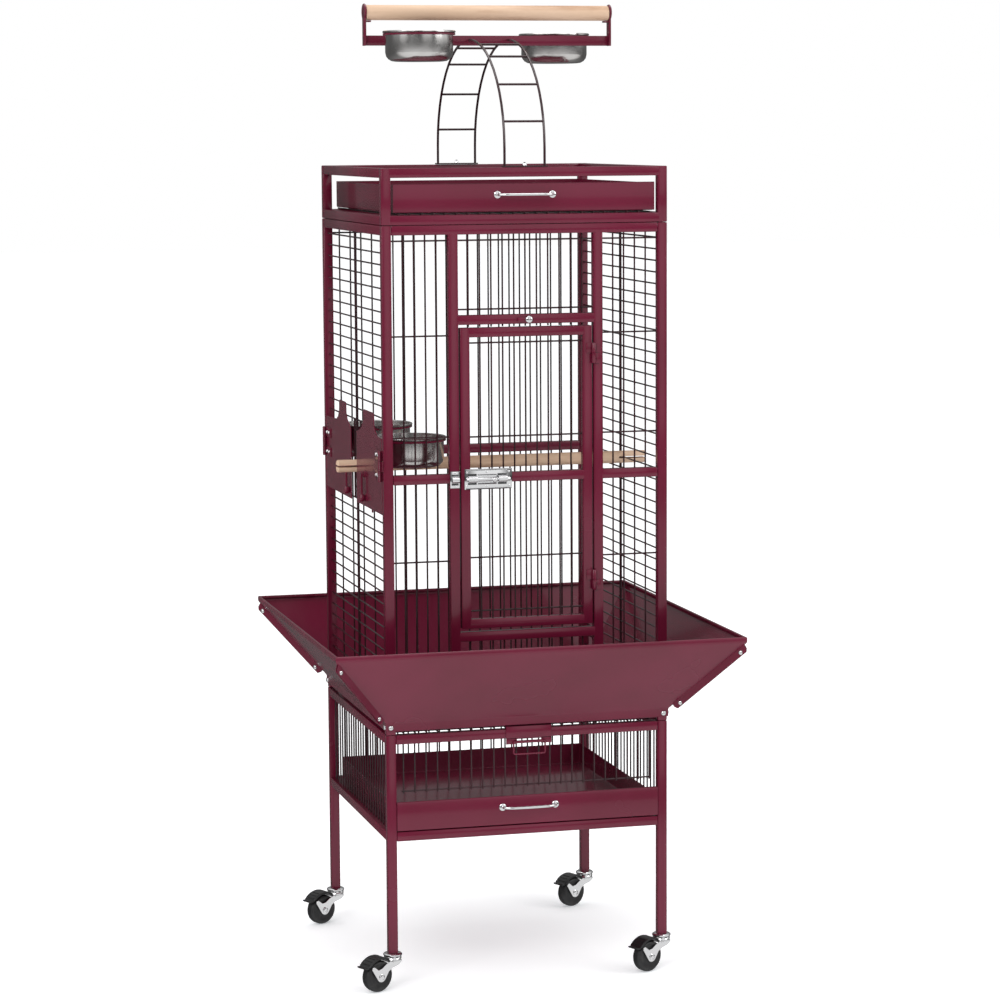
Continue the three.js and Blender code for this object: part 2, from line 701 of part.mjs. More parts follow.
function ladder(side, reach, rungs) {
  const foot = BOX_TOP + GAP;
  const pieces = [];
  for (const x of [-LADDER_X, LADDER_X]) {
    const points = [[x, side * reach, foot + 1], [x, side * reach, ARCH_START - 12]];
    for (let i = 0; i <= 8; i += 1) {
      const [y, z] = archPoint(side, reach, i / 8);
      points.push([x, y, z]);
    }
    pieces.push(bentRod(points, LADDER_WIRE_R, 5, 13));
  }
  for (const rung of rungs) {
    const [y, z] = archAtHeight(side, reach, rung);
    pieces.push(cylinder('x', [0, y, z], LADDER_WIRE_R - 0.2, 2 * LADDER_X, 5));
  }
  pieces.push(box(-36, 36, ...ordered(side * (reach - 5), side * (reach + 6)), foot, foot + 2));
  return join(pieces);
}

// ---------------------------------------------------------------- play top box and tray
function topBox() {
  const pieces = [];
  for (const side of [-1, 1]) {
    const ends = ordered(side * HALF, side * INNER);
    for (const low of [BOX_FOOT, BOX_TOP - TUBE]) {
      pieces.push(box(-HALF, HALF, ...ends, low, low + TUBE));
      pieces.push(box(...ends, -INNER, INNER, low, low + TUBE));
    }
    for (const end of [-1, 1]) {
      pieces.push(box(...ends, ...ordered(end * HALF, end * INNER), BOX_FLOOR, BOX_TOP - TUBE));
    }
  }
  for (const x of gridPositions()) {
    pieces.push(wireY(x, -HALF + 2, HALF - 2, BOX_FLOOR + WIRE / 2 - 0.2));
  }
  return join(pieces);
}

function playTray() {
  const tray = openTray(209, TRAY_FRONT, 209, TRAY_LOW, 1256, SHEET);
  const front = box(-209, 209, TRAY_FRONT, TRAY_FRONT + 2, TRAY_LOW, 1257.5);
  return join([tray, front]);
}

// ---------------------------------------------------------------- casters
// Built with the wheel trailing along +X from the swivel axis, then turned and placed.
function place(piece, sx, sy) {
  const c = Math.cos(CASTER_TURN);
  const s = Math.sin(CASTER_TURN);
  const matrix = [c, s, 0, 0, -s, c, 0, 0, 0, 0, 1, 0, sx * LEG_CENTRE, sy * LEG_CENTRE, 0, 1];
  return solid(geometryOf(piece).applyMatrix4(new THREE.Matrix4().fromArray(matrix)));
}

function plateXZ(outline, y, thickness) {
  // outline points are [x, z]; the plate runs from y to y + thickness
  const shape = new THREE.Shape(outline.map(([x, z]) => new THREE.Vector2(x, z)));
  const g = new THREE.ExtrudeGeometry(shape, { depth: thickness, bevelEnabled: false });
  g.applyMatrix4(new THREE.Matrix4().makeBasis(
    new THREE.Vector3(1, 0, 0), new THREE.Vector3(0, 0, 1), new THREE.Vector3(0, -1, 0)));
  g.translate(0, y + thickness, 0);
  return solid(g);
}

function casterFork() {
  const t = CASTER_TRAIL;
  const cheek = [
    [-9, 47], [13, 47], [t + 6, 38], [t + 11, 33], [t + 4, 19], [t - 4, 19], [t - 14, 33], [-4, 40],
  ];
  return join([
    cylinder('z', [0, 0, 49.7], 14, 6, 12),
    box(-9, 12, -12.2, 12.2, 44, 47),
    plateXZ(cheek, 10.6, 1.6),
    plateXZ(cheek, -12.2, 1.6),
    cylinder('y', [t, 0, WHEEL_R], AXLE_R, 27, 10),
  ]);
}

function casterWheel() {
  const w = WHEEL_HALF;
  const wheel = lathe([
    [AXLE_BORE, -w - 0.8], [8, -w - 0.8], [20, -w], [WHEEL_R, -w + 4.5], [WHEEL_R, w - 4.5],
    [20, w], [8, w + 0.8], [AXLE_BORE, w + 0.8], [AXLE_BORE, -w - 0.8],
  ], [0, 0, 0], 18);
  const g = geometryOf(wheel).rotateX(Math.PI / 2);
  g.translate(CASTER_TRAIL, 0, WHEEL_R);
  return solid(g);
}

function casterBrake() {
  const inner = [];
  const outer = [];
  for (let i = 0; i <= 8; i += 1) {
    const a = THREE.MathUtils.degToRad(118 - i * 12.5);
    outer.push([CASTER_TRAIL + 31 * Math.cos(a), WHEEL_R + 31 * Math.sin(a)]);
    inner.push([CASTER_TRAIL + 28.6 * Math.cos(a), WHEEL_R + 28.6 * Math.sin(a)]);
  }
  const tip = [[CASTER_TRAIL + 34, WHEEL_R + 12.5], [CASTER_TRAIL + 33, WHEEL_R + 9.5]];
  return plateXZ([...outer, ...tip, ...inner.reverse()], -13, 26);
}

const CORNERS = [
  ['front_left', -1, -1], ['front_right', 1, -1], ['rear_left', -1, 1], ['rear_right', 1, 1],
];

// ---------------------------------------------------------------- assembly
addNode('stand_left', 'frame_paint', standSide(-1));
addNode('stand_right', 'frame_paint', standSide(1));
addNode('stand_rear', 'frame_paint', standRear());
addNode('stand_front_grille', 'frame_paint', standFrontGrille());
addNode('stand_front_rail', 'frame_paint', box(-BAY, BAY, -HALF, -INNER, LOW_RAIL, LOW_RAIL + TUBE));
addNode('drawer', 'frame_paint', drawer());
addNode('drawer_handle', 'chrome', bowHandle(DRAWER_FACE, 280, 43, 15));
addNode('grate', 'frame_paint', grate());
addNode('grate_bail', 'frame_paint', grateBail());
['skirt_front', 'skirt_right', 'skirt_rear', 'skirt_left'].forEach((name, i) => {
  addNode(name, 'frame_paint', skirtPanel((i * Math.PI) / 2));
});
addNode('cage_left', 'frame_paint', cageSide(-1, FEEDERS));
addNode('cage_right', 'frame_paint', cageSide(1, []));
addNode('cage_front', 'frame_paint', cageFront());
addNode('cage_rear', 'frame_paint', cageRear());
addNode('door', 'frame_paint', door());
addNode('door_hinge_lower', 'frame_paint', doorKnuckle(DOOR_HINGE_Z[0], -1));
addNode('door_hinge_upper', 'frame_paint', doorKnuckle(DOOR_HINGE_Z[1], -1));
addNode('bolt_body', 'chrome', boltBody());
addNode('bolt_rod', 'chrome', boltRod());
addNode('bolt_keeper', 'chrome', boltKeeper());
addNode('turn_button', 'frame_paint', turnButton());
for (const feeder of FEEDERS) {
  addNode(`feeder_door_${feeder.name}`, 'frame_paint', feederDoor(feeder));
  addNode(`feeder_hinge_${feeder.name}`, 'frame_paint', feederHinge(feeder));
  addNode(`feeder_latch_${feeder.name}`, 'frame_paint', feederLatch(feeder));
  addNode(`feeder_cup_${feeder.name}`, 'steel', cup([FEEDER_CUP_X, feeder.side * feeder.cup], FEEDER_RIM));
}
addNode('inner_perch', 'wood', innerPerch());
addNode('top_box', 'frame_paint', topBox());
addNode('play_tray', 'frame_paint', playTray());
addNode('play_tray_handle', 'chrome', bowHandle(TRAY_FRONT, 1240, 44, 15));
addNode('perch_bracket', 'frame_paint', perchBracket());
addNode('play_perch', 'wood', playPerch());
addNode('play_cup_left', 'steel', cup([-PLAY_CUP.x, -PLAY_CUP.y], PLAY_CUP.rim));
addNode('play_cup_right', 'steel', cup([PLAY_CUP.x, PLAY_CUP.y], PLAY_CUP.rim));
addNode('ladder_front', 'frame_paint', ladder(-1, 222, [1352, 1409, 1453, 1473]));
addNode('ladder_rear', 'frame_paint', ladder(1, 215, [1340, 1398, 1446, 1471]));
for (const [name, sx, sy] of CORNERS) {
  addNode(`caster_fork_${name}`, 'chrome', place(casterFork(), sx, sy));
  addNode(`caster_wheel_${name}`, 'tyre', place(casterWheel(), sx, sy));
  addNode(`caster_brake_${name}`, 'brake_plastic', place(casterBrake(), sx, sy));
}

export default group;
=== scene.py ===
# %% [markdown]
# # A bird cage on a wheeled stand
# This notebook dresses a finished frame: the CAD model of a square wire cage that stands on four
# casters, with a flared skirt that catches seed, a litter drawer and a play top. The CAD says where
# everything is and how it moves, so nothing here has to be fitted. Blender adds what a maker would
# see up close: round wire, rounded tube corners, folded sheet, rolled rims, bolts and finishes.
# %% Load the frame
import json
import math

import bpy
from mathutils import Matrix, Vector


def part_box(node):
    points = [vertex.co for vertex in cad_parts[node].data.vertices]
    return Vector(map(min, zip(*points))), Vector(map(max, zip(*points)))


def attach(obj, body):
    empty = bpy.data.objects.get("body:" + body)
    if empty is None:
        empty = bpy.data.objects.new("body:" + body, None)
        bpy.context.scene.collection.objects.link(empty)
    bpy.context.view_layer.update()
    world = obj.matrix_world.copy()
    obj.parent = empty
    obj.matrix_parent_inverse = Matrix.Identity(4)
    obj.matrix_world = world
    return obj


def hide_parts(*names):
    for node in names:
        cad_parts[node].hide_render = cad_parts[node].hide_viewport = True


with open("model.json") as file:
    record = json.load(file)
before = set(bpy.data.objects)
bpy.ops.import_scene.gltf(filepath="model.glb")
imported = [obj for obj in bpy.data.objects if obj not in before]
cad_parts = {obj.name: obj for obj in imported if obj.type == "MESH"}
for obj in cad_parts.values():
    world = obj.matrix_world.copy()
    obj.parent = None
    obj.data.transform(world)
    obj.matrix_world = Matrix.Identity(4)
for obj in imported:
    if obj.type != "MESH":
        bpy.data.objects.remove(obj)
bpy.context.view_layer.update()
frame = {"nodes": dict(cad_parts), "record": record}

# %% [markdown]
# ## Camera, floor and light
# A tall object is easiest to judge through a long lens from far away, because upright tubes then
# stay nearly parallel. The camera stands five metres off, a little to the left of the door and
# slightly above the skirt. It is aimed with a turn, a tilt and a very small roll, which are built
# up as three directions instead of angles about the axes, so each can be read on its own.
# %% Camera
CAMERA_AT = (-1.26903, -4.91735, 1.34151)
TURN, TILT, ROLL = (math.radians(a) for a in (-14.64, 6.76, -0.35))
forward = Vector((-math.sin(TURN) * math.cos(TILT), math.cos(TURN) * math.cos(TILT), -math.sin(TILT)))
level = Vector((math.cos(TURN), math.sin(TURN), 0))
above = level.cross(forward)
right = level * math.cos(ROLL) + above * math.sin(ROLL)
up = above * math.cos(ROLL) - level * math.sin(ROLL)
aim = Matrix((right, up, -forward)).transposed()
bpy.ops.object.select_all(action="DESELECT")
bpy.ops.object.camera_add(location=CAMERA_AT, rotation=aim.to_euler())
camera = bpy.context.object
camera.data.lens = 112.9
camera.data.sensor_width = 36
camera.data.clip_end = 60
bpy.context.scene.camera = camera
print("camera lens", round(camera.data.lens, 1), "mm")

# %% [markdown]
# Glossy paint shows its surroundings more than its own colour, so what the paint can see matters as
# much as the lamps. The floor is white, but reflections look past it into the room. There the floor
# in front is pale, a dark band lies under eye level, and above it tall pale panels alternate with
# dark gaps, which draw long streaks on the cups. The room behind the cage is dim, which keeps the
# tubes' sides deep. The backdrop itself stays plain white.
# %% Floor and lamps
bpy.ops.object.select_all(action="DESELECT")
bpy.ops.mesh.primitive_plane_add(size=1, location=(0, 13, -0.0005), scale=(40, 34, 1))
floor = bpy.context.object
floor.name = "floor"
floor.scale = (40, 34, 1)
floor_paint = bpy.data.materials.new("studio_floor")
floor_paint.use_nodes = True
floor_shader = floor_paint.node_tree.nodes["Principled BSDF"]
floor_shader.inputs["Base Color"].default_value = (0.95, 0.95, 0.95, 1)
floor_shader.inputs["Roughness"].default_value = 0.9
floor_shader.inputs["Specular IOR Level"].default_value = 0.0
floor_shader.inputs["Emission Color"].default_value = (0.93, 0.97, 1, 1)
floor_shader.inputs["Emission Strength"].default_value = 0.37
floor.data.materials.append(floor_paint)
floor.visible_glossy = False

LAMPS = {
    "key": ((-2.6, -3.4, 3.2), 2.4, 80),
    "fill": ((3.2, -2.2, 2.4), 2.0, 36),
    "top": ((0.2, 0.4, 3.8), 2.4, 42),
}
for name, (place, size, power) in LAMPS.items():
    turn = (Vector((0, 0, 0.8)) - Vector(place)).to_track_quat("-Z", "Y").to_euler()
    bpy.ops.object.light_add(type="AREA", location=place, rotation=turn)
    lamp = bpy.context.object
    lamp.name = "lamp_" + name
    lamp.data.size = size
    lamp.data.energy = power
print("lamps:", ", ".join(LAMPS))

# %% The room
# Panels by direction, in degrees round the cage: 0 is straight to the front and 90 the right. The
# number beside each is its brightness, and brightness blends from one stop to the next.
PANELS = [
    (-180, 0.13), (-120, 0.13), (-104, 0.35), (-84, 0.40), (-76, 1.1), (-58, 1.1), (-52, 0.14),
    (-6, 0.10), (4, 1.0),
    (26, 1.0), (34, 0.12), (64, 0.14), (72, 1.0), (92, 1.0), (104, 0.35), (120, 0.16), (150, 0.13),
    (180, 0.13)]
# The same by height, as the sine of the angle above eye level, for the front and the back.
FRONT_LEVELS = [(-1, 0.9), (-0.19, 0.9), (-0.165, 0.05), (-0.05, 0.05), (-0.025, 0), (1, 0)]
BACK_LEVELS = [(-1, 0.35), (-0.6, 0.2), (-0.3, 0.12), (0, 0.12), (0.4, 0.3), (1, 1)]
world = bpy.data.worlds.new("studio")
world.use_nodes = True
bpy.context.scene.world = world
bpy.context.scene.view_settings.view_transform = "Standard"
room, connect = world.node_tree.nodes, world.node_tree.links.new


def room_math(kind, *values):
    node = room.new("ShaderNodeMath")
    node.operation = kind
    for socket, value in zip(node.inputs, values):
        if isinstance(value, (int, float)):
            socket.default_value = value
        else:
            connect(value, socket)
    return node.outputs[0]


def room_ramp(source, stops, low, high):
    """Brightness along source, from stops that run from low to high."""
    ramp = room.new("ShaderNodeValToRGB")
    elements = ramp.color_ramp.elements
    for place, _ in stops[1:-1]:
        elements.new((place - low) / (high - low))
    for element, (_, bright) in zip(elements, stops):
        element.color = (bright, bright, bright, 1)
    connect(room_math("MULTIPLY_ADD", source, 1 / (high - low), -low / (high - low)), ramp.inputs["Fac"])
    return ramp.outputs["Color"]


def room_step(source, start, end):
    ramp = room.new("ShaderNodeMapRange")
    ramp.inputs["From Min"].default_value = start
    ramp.inputs["From Max"].default_value = end
    connect(source, ramp.inputs["Value"])
    return ramp.outputs["Result"]


direction = room.new("ShaderNodeSeparateXYZ")
connect(room.new("ShaderNodeTexCoord").outputs["Generated"], direction.inputs[0])
across, depth, height = direction.outputs
around = room_math("ARCTAN2", across, room_math("MULTIPLY", depth, -1.0))
panels = room_ramp(around, [(math.radians(angle), bright) for angle, bright in PANELS], -math.pi, math.pi)
over_eye = room_step(height, -0.05, -0.025)
front = room_math("MAXIMUM", room_math("MULTIPLY", panels, over_eye),
                  room_ramp(height, FRONT_LEVELS, -1, 1))
front = room_math("MAXIMUM", front, room_step(height, 0.3, 0.7))
back = room_math("MAXIMUM", room_ramp(height, BACK_LEVELS, -1, 1), room_math("MULTIPLY", panels, over_eye))
behind = room_step(depth, -0.1, 0.2)
seen = room_math("ADD", room_math("MULTIPLY", back, behind),
                 room_math("MULTIPLY", front, room_math("SUBTRACT", 1.0, behind)))
backdrop = room.new("ShaderNodeLightPath").outputs["Is Camera Ray"]
connect(room_math("MAXIMUM", seen, backdrop), room["Background"].inputs["Strength"])
room["Background"].inputs["Color"].default_value = (1, 1, 1, 1)
print("room panels:", len(PANELS))

# %% [markdown]
# ## Finishes
# Every finish is built from nodes that read Object coordinates in metres, so a pattern has one
# real scale over the whole cage. The powder coat is the main one: a deep garnet colour under a
# clear gloss, with a fine orange-peel ripple, a slow drift of tone, and a little dust that dulls
# the gloss in patches.
# %% Helpers for node materials
def new_finish(name, colour, metallic, roughness):
    finish = bpy.data.materials.new(name)
    finish.use_nodes = True
    shader = finish.node_tree.nodes["Principled BSDF"]
    shader.inputs["Base Color"].default_value = (*colour, 1)
    shader.inputs["Metallic"].default_value = metallic
    shader.inputs["Roughness"].default_value = roughness
    return finish, shader


def add_noise(finish, scale, stretch=(1, 1, 1), detail=3, roughness=0.5):
    """A noise pattern on Object coordinates; scale counts its features in a metre."""
    nodes, links = finish.node_tree.nodes, finish.node_tree.links
    where = nodes.new("ShaderNodeTexCoord")
    mapping = nodes.new("ShaderNodeMapping")
    mapping.inputs["Scale"].default_value = stretch
    noise = nodes.new("ShaderNodeTexNoise")
    noise.inputs["Scale"].default_value = scale
    noise.inputs["Detail"].default_value = detail
    noise.inputs["Roughness"].default_value = roughness
    links.new(where.outputs["Object"], mapping.inputs["Vector"])
    links.new(mapping.outputs["Vector"], noise.inputs["Vector"])
    return noise.outputs["Fac"]


def spread(finish, source, low, high, start=0.3, end=0.7):
    """Turns a pattern into a number between low and high."""
    ramp = finish.node_tree.nodes.new("ShaderNodeMapRange")
    for socket, value in (("From Min", start), ("From Max", end), ("To Min", low), ("To Max", high)):
        ramp.inputs[socket].default_value = value
    finish.node_tree.links.new(source, ramp.inputs["Value"])
    return ramp.outputs["Result"]


def blend_colours(finish, source, first, second):
    mix = finish.node_tree.nodes.new("ShaderNodeMix")
    mix.data_type = "RGBA"
    mix.inputs["A"].default_value = (*first, 1)
    mix.inputs["B"].default_value = (*second, 1)
    finish.node_tree.links.new(source, mix.inputs["Factor"])
    return mix.outputs["Result"]


def ripple(finish, source, depth, strength=1.0, after=None):
    """A bump of the given depth in metres."""
    bump = finish.node_tree.nodes.new("ShaderNodeBump")
    bump.inputs["Distance"].default_value = depth
    bump.inputs["Strength"].default_value = strength
    finish.node_tree.links.new(source, bump.inputs["Height"])
    if after is not None:
        finish.node_tree.links.new(after, bump.inputs["Normal"])
    return bump.outputs["Normal"]


def plug(finish, shader, **sources):
    """Joins patterns to the shader's sockets, named with underscores for spaces."""
    for socket, source in sources.items():
        finish.node_tree.links.new(source, shader.inputs[socket.replace("_", " ")])


# %% Garnet powder coat
GARNET = (0.132, 0.0070, 0.0280)
GARNET_DEEP = (0.108, 0.0050, 0.0210)
# The wire colours are the same garnet made darker: painted shade on the thin wires.
SHADED_WIRE_GARNET, SHADED_WIRE_DEEP = (0.034, 0.0090, 0.0130), (0.020, 0.0060, 0.0080)


def powder_coat(name, colour, deep):
    coat, shader = new_finish(name, colour, 0.0, 0.3)
    shader.inputs["Specular IOR Level"].default_value = 0.32
    shader.inputs["Coat Weight"].default_value = 0.3
    shader.inputs["Coat Roughness"].default_value = 0.09
    drift = add_noise(coat, 6, detail=2)
    peel = add_noise(coat, 420, detail=2, roughness=0.4)
    dust = add_noise(coat, 9, detail=3, roughness=0.5)
    plug(
        coat, shader,
        Base_Color=blend_colours(coat, spread(coat, drift, 0, 1, 0.35, 0.65), deep, colour),
        Roughness=spread(coat, dust, 0.22, 0.28),
        Normal=ripple(coat, peel, 0.00004, 0.4),
        Coat_Normal=ripple(coat, peel, 0.00003, 0.3),
    )
    return coat


paint = powder_coat("garnet_powder_coat", GARNET, GARNET_DEEP)
# A darker copy of the coat for the wires and ladders: painted shade.
shaded_wire_paint = powder_coat("garnet_powder_coat_shaded_for_wire", SHADED_WIRE_GARNET, SHADED_WIRE_DEEP)

# %% Sanded hardwood
wood, wood_shader = new_finish("sanded_hardwood", (0.72, 0.52, 0.33), 0.0, 0.6)
wood_shader.inputs["Specular IOR Level"].default_value = 0.35
streaks = add_noise(wood, 26, stretch=(0.12, 1, 1), detail=5, roughness=0.6)
pores = add_noise(wood, 700, stretch=(0.05, 1, 1), detail=2)
figure = add_noise(wood, 5, stretch=(1, 2, 2), detail=2)
grain = blend_colours(wood, spread(wood, streaks, 0, 1, 0.32, 0.56), (0.40, 0.225, 0.13),
                      (0.70, 0.505, 0.365))
tone = wood.node_tree.nodes.new("ShaderNodeMix")
tone.data_type = "RGBA"
tone.blend_type = "MULTIPLY"
tone.inputs["B"].default_value = (0.86, 0.78, 0.70, 1)
wood.node_tree.links.new(spread(wood, figure, 0, 0.6), tone.inputs["Factor"])
wood.node_tree.links.new(grain, tone.inputs["A"])
plug(
    wood, wood_shader,
    Base_Color=tone.outputs["Result"],
    Roughness=spread(wood, streaks, 0.5, 0.72),
    Normal=ripple(wood, pores, 0.00012, 0.6),
)

# %% Stainless steel, chrome plate and zinc
steel, steel_shader = new_finish("spun_stainless", (0.62, 0.61, 0.6), 1.0, 0.2)
brushing = add_noise(steel, 160, stretch=(1, 1, 14), detail=4, roughness=0.7)
smears = add_noise(steel, 22, detail=3)
plug(
    steel, steel_shader,
    Base_Color=blend_colours(steel, spread(steel, smears, 0, 1), (0.52, 0.50, 0.49), (0.68, 0.67, 0.66)),
    Roughness=spread(steel, brushing, 0.14, 0.27),
    Normal=ripple(steel, brushing, 0.00002, 0.4),
)

chrome, chrome_shader = new_finish("chrome_plate", (0.74, 0.74, 0.75), 1.0, 0.08)
fingerprints = add_noise(chrome, 55, detail=5, roughness=0.6)
pits = add_noise(chrome, 900, detail=1)
plug(
    chrome, chrome_shader,
    Roughness=spread(chrome, fingerprints, 0.05, 0.17),
    Normal=ripple(chrome, pits, 0.00001, 0.35),
)

# %% Moulded rubber and plastic
tyre, tyre_shader = new_finish("moulded_tyre", (0.012, 0.012, 0.013), 0.0, 0.5)
tyre_shader.inputs["Specular IOR Level"].default_value = 0.5
scuffs = add_noise(tyre, 90, detail=6, roughness=0.7)
plug(
    tyre, tyre_shader,
    Base_Color=blend_colours(tyre, spread(tyre, scuffs, 0, 1, 0.5, 0.8), (0.009, 0.009, 0.01),
                             (0.035, 0.034, 0.033)),
    Roughness=spread(tyre, scuffs, 0.3, 0.55),
    Normal=ripple(tyre, scuffs, 0.00005, 0.4),
)

plastic, plastic_shader = new_finish("brake_plastic", (0.008, 0.008, 0.009), 0.0, 0.35)
stipple = add_noise(plastic, 1400, detail=1)
plug(
    plastic, plastic_shader,
    Roughness=spread(plastic, stipple, 0.28, 0.45),
    Normal=ripple(plastic, stipple, 0.00004, 0.5),
)
FINISHES = {
    "frame_paint": paint, "wood": wood, "steel": steel, "chrome": chrome, "tyre": tyre,
    "brake_plastic": plastic,
}
print("finishes:", ", ".join(finish.name for finish in FINISHES.values()))

# %% [markdown]
# ## The maker's helpers
# The cage repeats a few jobs hundreds of times: cut a tube, cut a wire, repeat a wire, turn a round
# piece, bend a rod and fold a plate. Each job is one small function here. They take millimetres,
# because that is how the stock is bought, and turn them into Blender's metres inside.
# %% Jobs on one object
MM = 0.001


def deselect():
    if bpy.context.object and bpy.context.object.mode != "OBJECT":
        bpy.ops.object.mode_set(mode="OBJECT")
    bpy.ops.object.select_all(action="DESELECT")


def hold(obj):
    """Makes obj the only selected object."""
    deselect()
    obj.select_set(True)
    bpy.context.view_layer.objects.active = obj
    return obj


def settle(obj):
    """Puts the object's place, turn and size into its mesh."""
    hold(obj)
    bpy.ops.object.transform_apply(location=True, rotation=True, scale=True)
    return obj


def modify(obj, kind, **settings):
    hold(obj)
    modifier = obj.modifiers.new(kind.title(), kind)
    for key, value in settings.items():
        setattr(modifier, key, value)
    bpy.ops.object.modifier_apply(modifier=modifier.name)
    return obj


def join(parts):
    deselect()
    for part in parts:
        part.select_set(True)
    bpy.context.view_layer.objects.active = parts[0]
    if len(parts) > 1:
        bpy.ops.object.join()
    return bpy.context.object


def outward(obj):
    """Closes seams and turns every face outwards."""
    hold(obj)
    bpy.ops.object.mode_set(mode="EDIT")
    bpy.ops.mesh.select_all(action="SELECT")
    bpy.ops.mesh.remove_doubles(threshold=0.01 * MM)
    bpy.ops.mesh.normals_make_consistent(inside=False)
    bpy.ops.object.mode_set(mode="OBJECT")
    return obj


def copy_of(obj):
    hold(obj)
    bpy.ops.object.duplicate(linked=False)
    return bpy.context.object


def finish(obj, name, body, slot, replaces=(), smooth=40, look=None):
    """Names the piece, gives it its finish, or look, and joins it to the frame's body."""
    hold(obj)
    obj.name = obj.data.name = name
    obj.data.materials.clear()
    obj.data.materials.append(look or FINISHES[slot])
    bpy.ops.object.shade_smooth_by_angle(angle=math.radians(smooth))
    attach(obj, body)
    if replaces:
        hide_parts(*replaces)
    print(f"{name}: {len(obj.data.polygons)} faces, {[round(d / MM) for d in obj.dimensions]} mm")
    return obj


def strung(wires, name, body):
    """Bare grille wire, in a darker copy of the tubes' garnet coat, which is painted shade."""
    return finish(join(wires), name, body, "frame_paint", look=shaded_wire_paint)


# %% Stock: bars, wires, turned and bent pieces
def cuboid(low, high):
    low, high = Vector(low) * MM, Vector(high) * MM
    deselect()
    bpy.ops.mesh.primitive_cube_add(size=1, location=(low + high) / 2, scale=high - low)
    return settle(bpy.context.object)


def bars(boxes, corner=1.5, segments=2):
    """Square tubes and flat bars with rounded edges, from low and high corners."""
    welded = join([cuboid(low, high) for low, high in boxes])
    return modify(
        welded, "BEVEL", width=corner * MM, segments=segments, limit_method="ANGLE",
        angle_limit=math.radians(40), harden_normals=False)


def wire(start, end, radius=1.35, sides=8):
    start, end = Vector(start) * MM, Vector(end) * MM
    run = end - start
    deselect()
    bpy.ops.mesh.primitive_cylinder_add(
        vertices=sides, radius=radius * MM, depth=run.length, location=(start + end) / 2,
        rotation=run.to_track_quat("Z", "Y").to_euler())
    return settle(bpy.context.object)


def row_of(obj, step, count):
    return modify(
        obj, "ARRAY", count=count, use_relative_offset=False, use_constant_offset=True,
        constant_offset_displace=Vector(step) * MM)


def turned(profile, at=(0, 0, 0), axis=(0, 0, 1), sides=24):
    """A lathe job: (radius, height) pairs. A profile that returns to its start is left open."""
    first_radius, first_height = profile[0]
    deselect()
    bpy.ops.mesh.primitive_circle_add(
        vertices=sides, radius=first_radius * MM, location=(0, 0, first_height * MM))
    obj = settle(bpy.context.object)
    bpy.ops.object.mode_set(mode="EDIT")
    bpy.ops.mesh.select_all(action="SELECT")
    for (radius, height), (next_radius, next_height) in zip(profile, profile[1:]):
        rise = (next_height - height) * MM
        bpy.ops.mesh.extrude_edges_move(TRANSFORM_OT_translate={"value": (0, 0, rise)})
        ratio = next_radius / radius
        bpy.ops.transform.resize(value=(ratio, ratio, 1), center_override=(0, 0, 0))
    bpy.ops.mesh.select_all(action="SELECT")
    bpy.ops.mesh.remove_doubles(threshold=0.01 * MM)
    if profile[0] != profile[-1]:
        bpy.ops.mesh.fill_holes(sides=0)
    bpy.ops.mesh.normals_make_consistent(inside=False)
    bpy.ops.object.mode_set(mode="OBJECT")
    obj.rotation_euler = Vector(axis).to_track_quat("Z", "Y").to_euler()
    obj.location = Vector(at) * MM
    return settle(obj)


def rounded_path(points, radius, steps=4):
    """The points with each inner corner replaced by a short curve."""
    points = [Vector(p) for p in points]
    path = [points[0]]
    for before, corner, after in zip(points, points[1:], points[2:]):
        cut = min(radius, (before - corner).length / 2, (after - corner).length / 2)
        start = corner + (before - corner).normalized() * cut
        end = corner + (after - corner).normalized() * cut
        for i in range(steps + 1):
            t = i / steps
            path.append(start * (1 - t) ** 2 + corner * 2 * t * (1 - t) + end * t ** 2)
    return path + [points[-1]]


def bent(points, radius, bend=6, sides_step=2):
    """A rod bent through the points; each bend is rounded."""
    path = rounded_path(points, bend)
    curve = bpy.data.curves.new("rod", "CURVE")
    curve.dimensions = "3D"
    curve.bevel_depth = radius * MM
    curve.bevel_resolution = sides_step
    curve.use_fill_caps = True
    spline = curve.splines.new("POLY")
    spline.points.add(len(path) - 1)
    for point, place in zip(spline.points, path):
        point.co = (*(place * MM), 1)
    obj = bpy.data.objects.new("rod", curve)
    bpy.context.collection.objects.link(obj)
    hold(obj)
    bpy.ops.object.convert(target="MESH")
    return outward(bpy.context.object)


def plate(points, run, corner=0.3):
    """A flat plate cut to the outline and thickened along run."""
    deselect()
    bpy.ops.mesh.primitive_circle_add(vertices=len(points), radius=1, fill_type="NGON")
    obj = bpy.context.object
    for vertex, place in zip(obj.data.vertices, points):
        vertex.co = Vector(place) * MM
    bpy.ops.object.mode_set(mode="EDIT")
    bpy.ops.mesh.select_all(action="SELECT")
    bpy.ops.mesh.extrude_region_move(TRANSFORM_OT_translate={"value": Vector(run) * MM})
    bpy.ops.mesh.select_all(action="SELECT")
    bpy.ops.mesh.normals_make_consistent(inside=False)
    bpy.ops.object.mode_set(mode="OBJECT")
    if corner:
        modify(obj, "BEVEL", width=corner * MM, segments=1, limit_method="ANGLE",
               angle_limit=math.radians(50))
    return obj


def dome(at, axis, radius=4.2):
    """A round-headed bolt."""
    r = radius
    return turned(
        [(r, -0.2), (r, 0.7), (r * 0.9, 1.5), (r * 0.66, 2.3), (r * 0.34, 2.7), (0.4, 2.8)],
        at, axis, 14)


def nut(at, axis, radius=4.6):
    return turned([(radius, -0.2), (radius, 3), (radius * 0.85, 3.6), (1.9, 3.6), (1.9, 5), (0.4, 5.3)],
                  at, axis, 6)


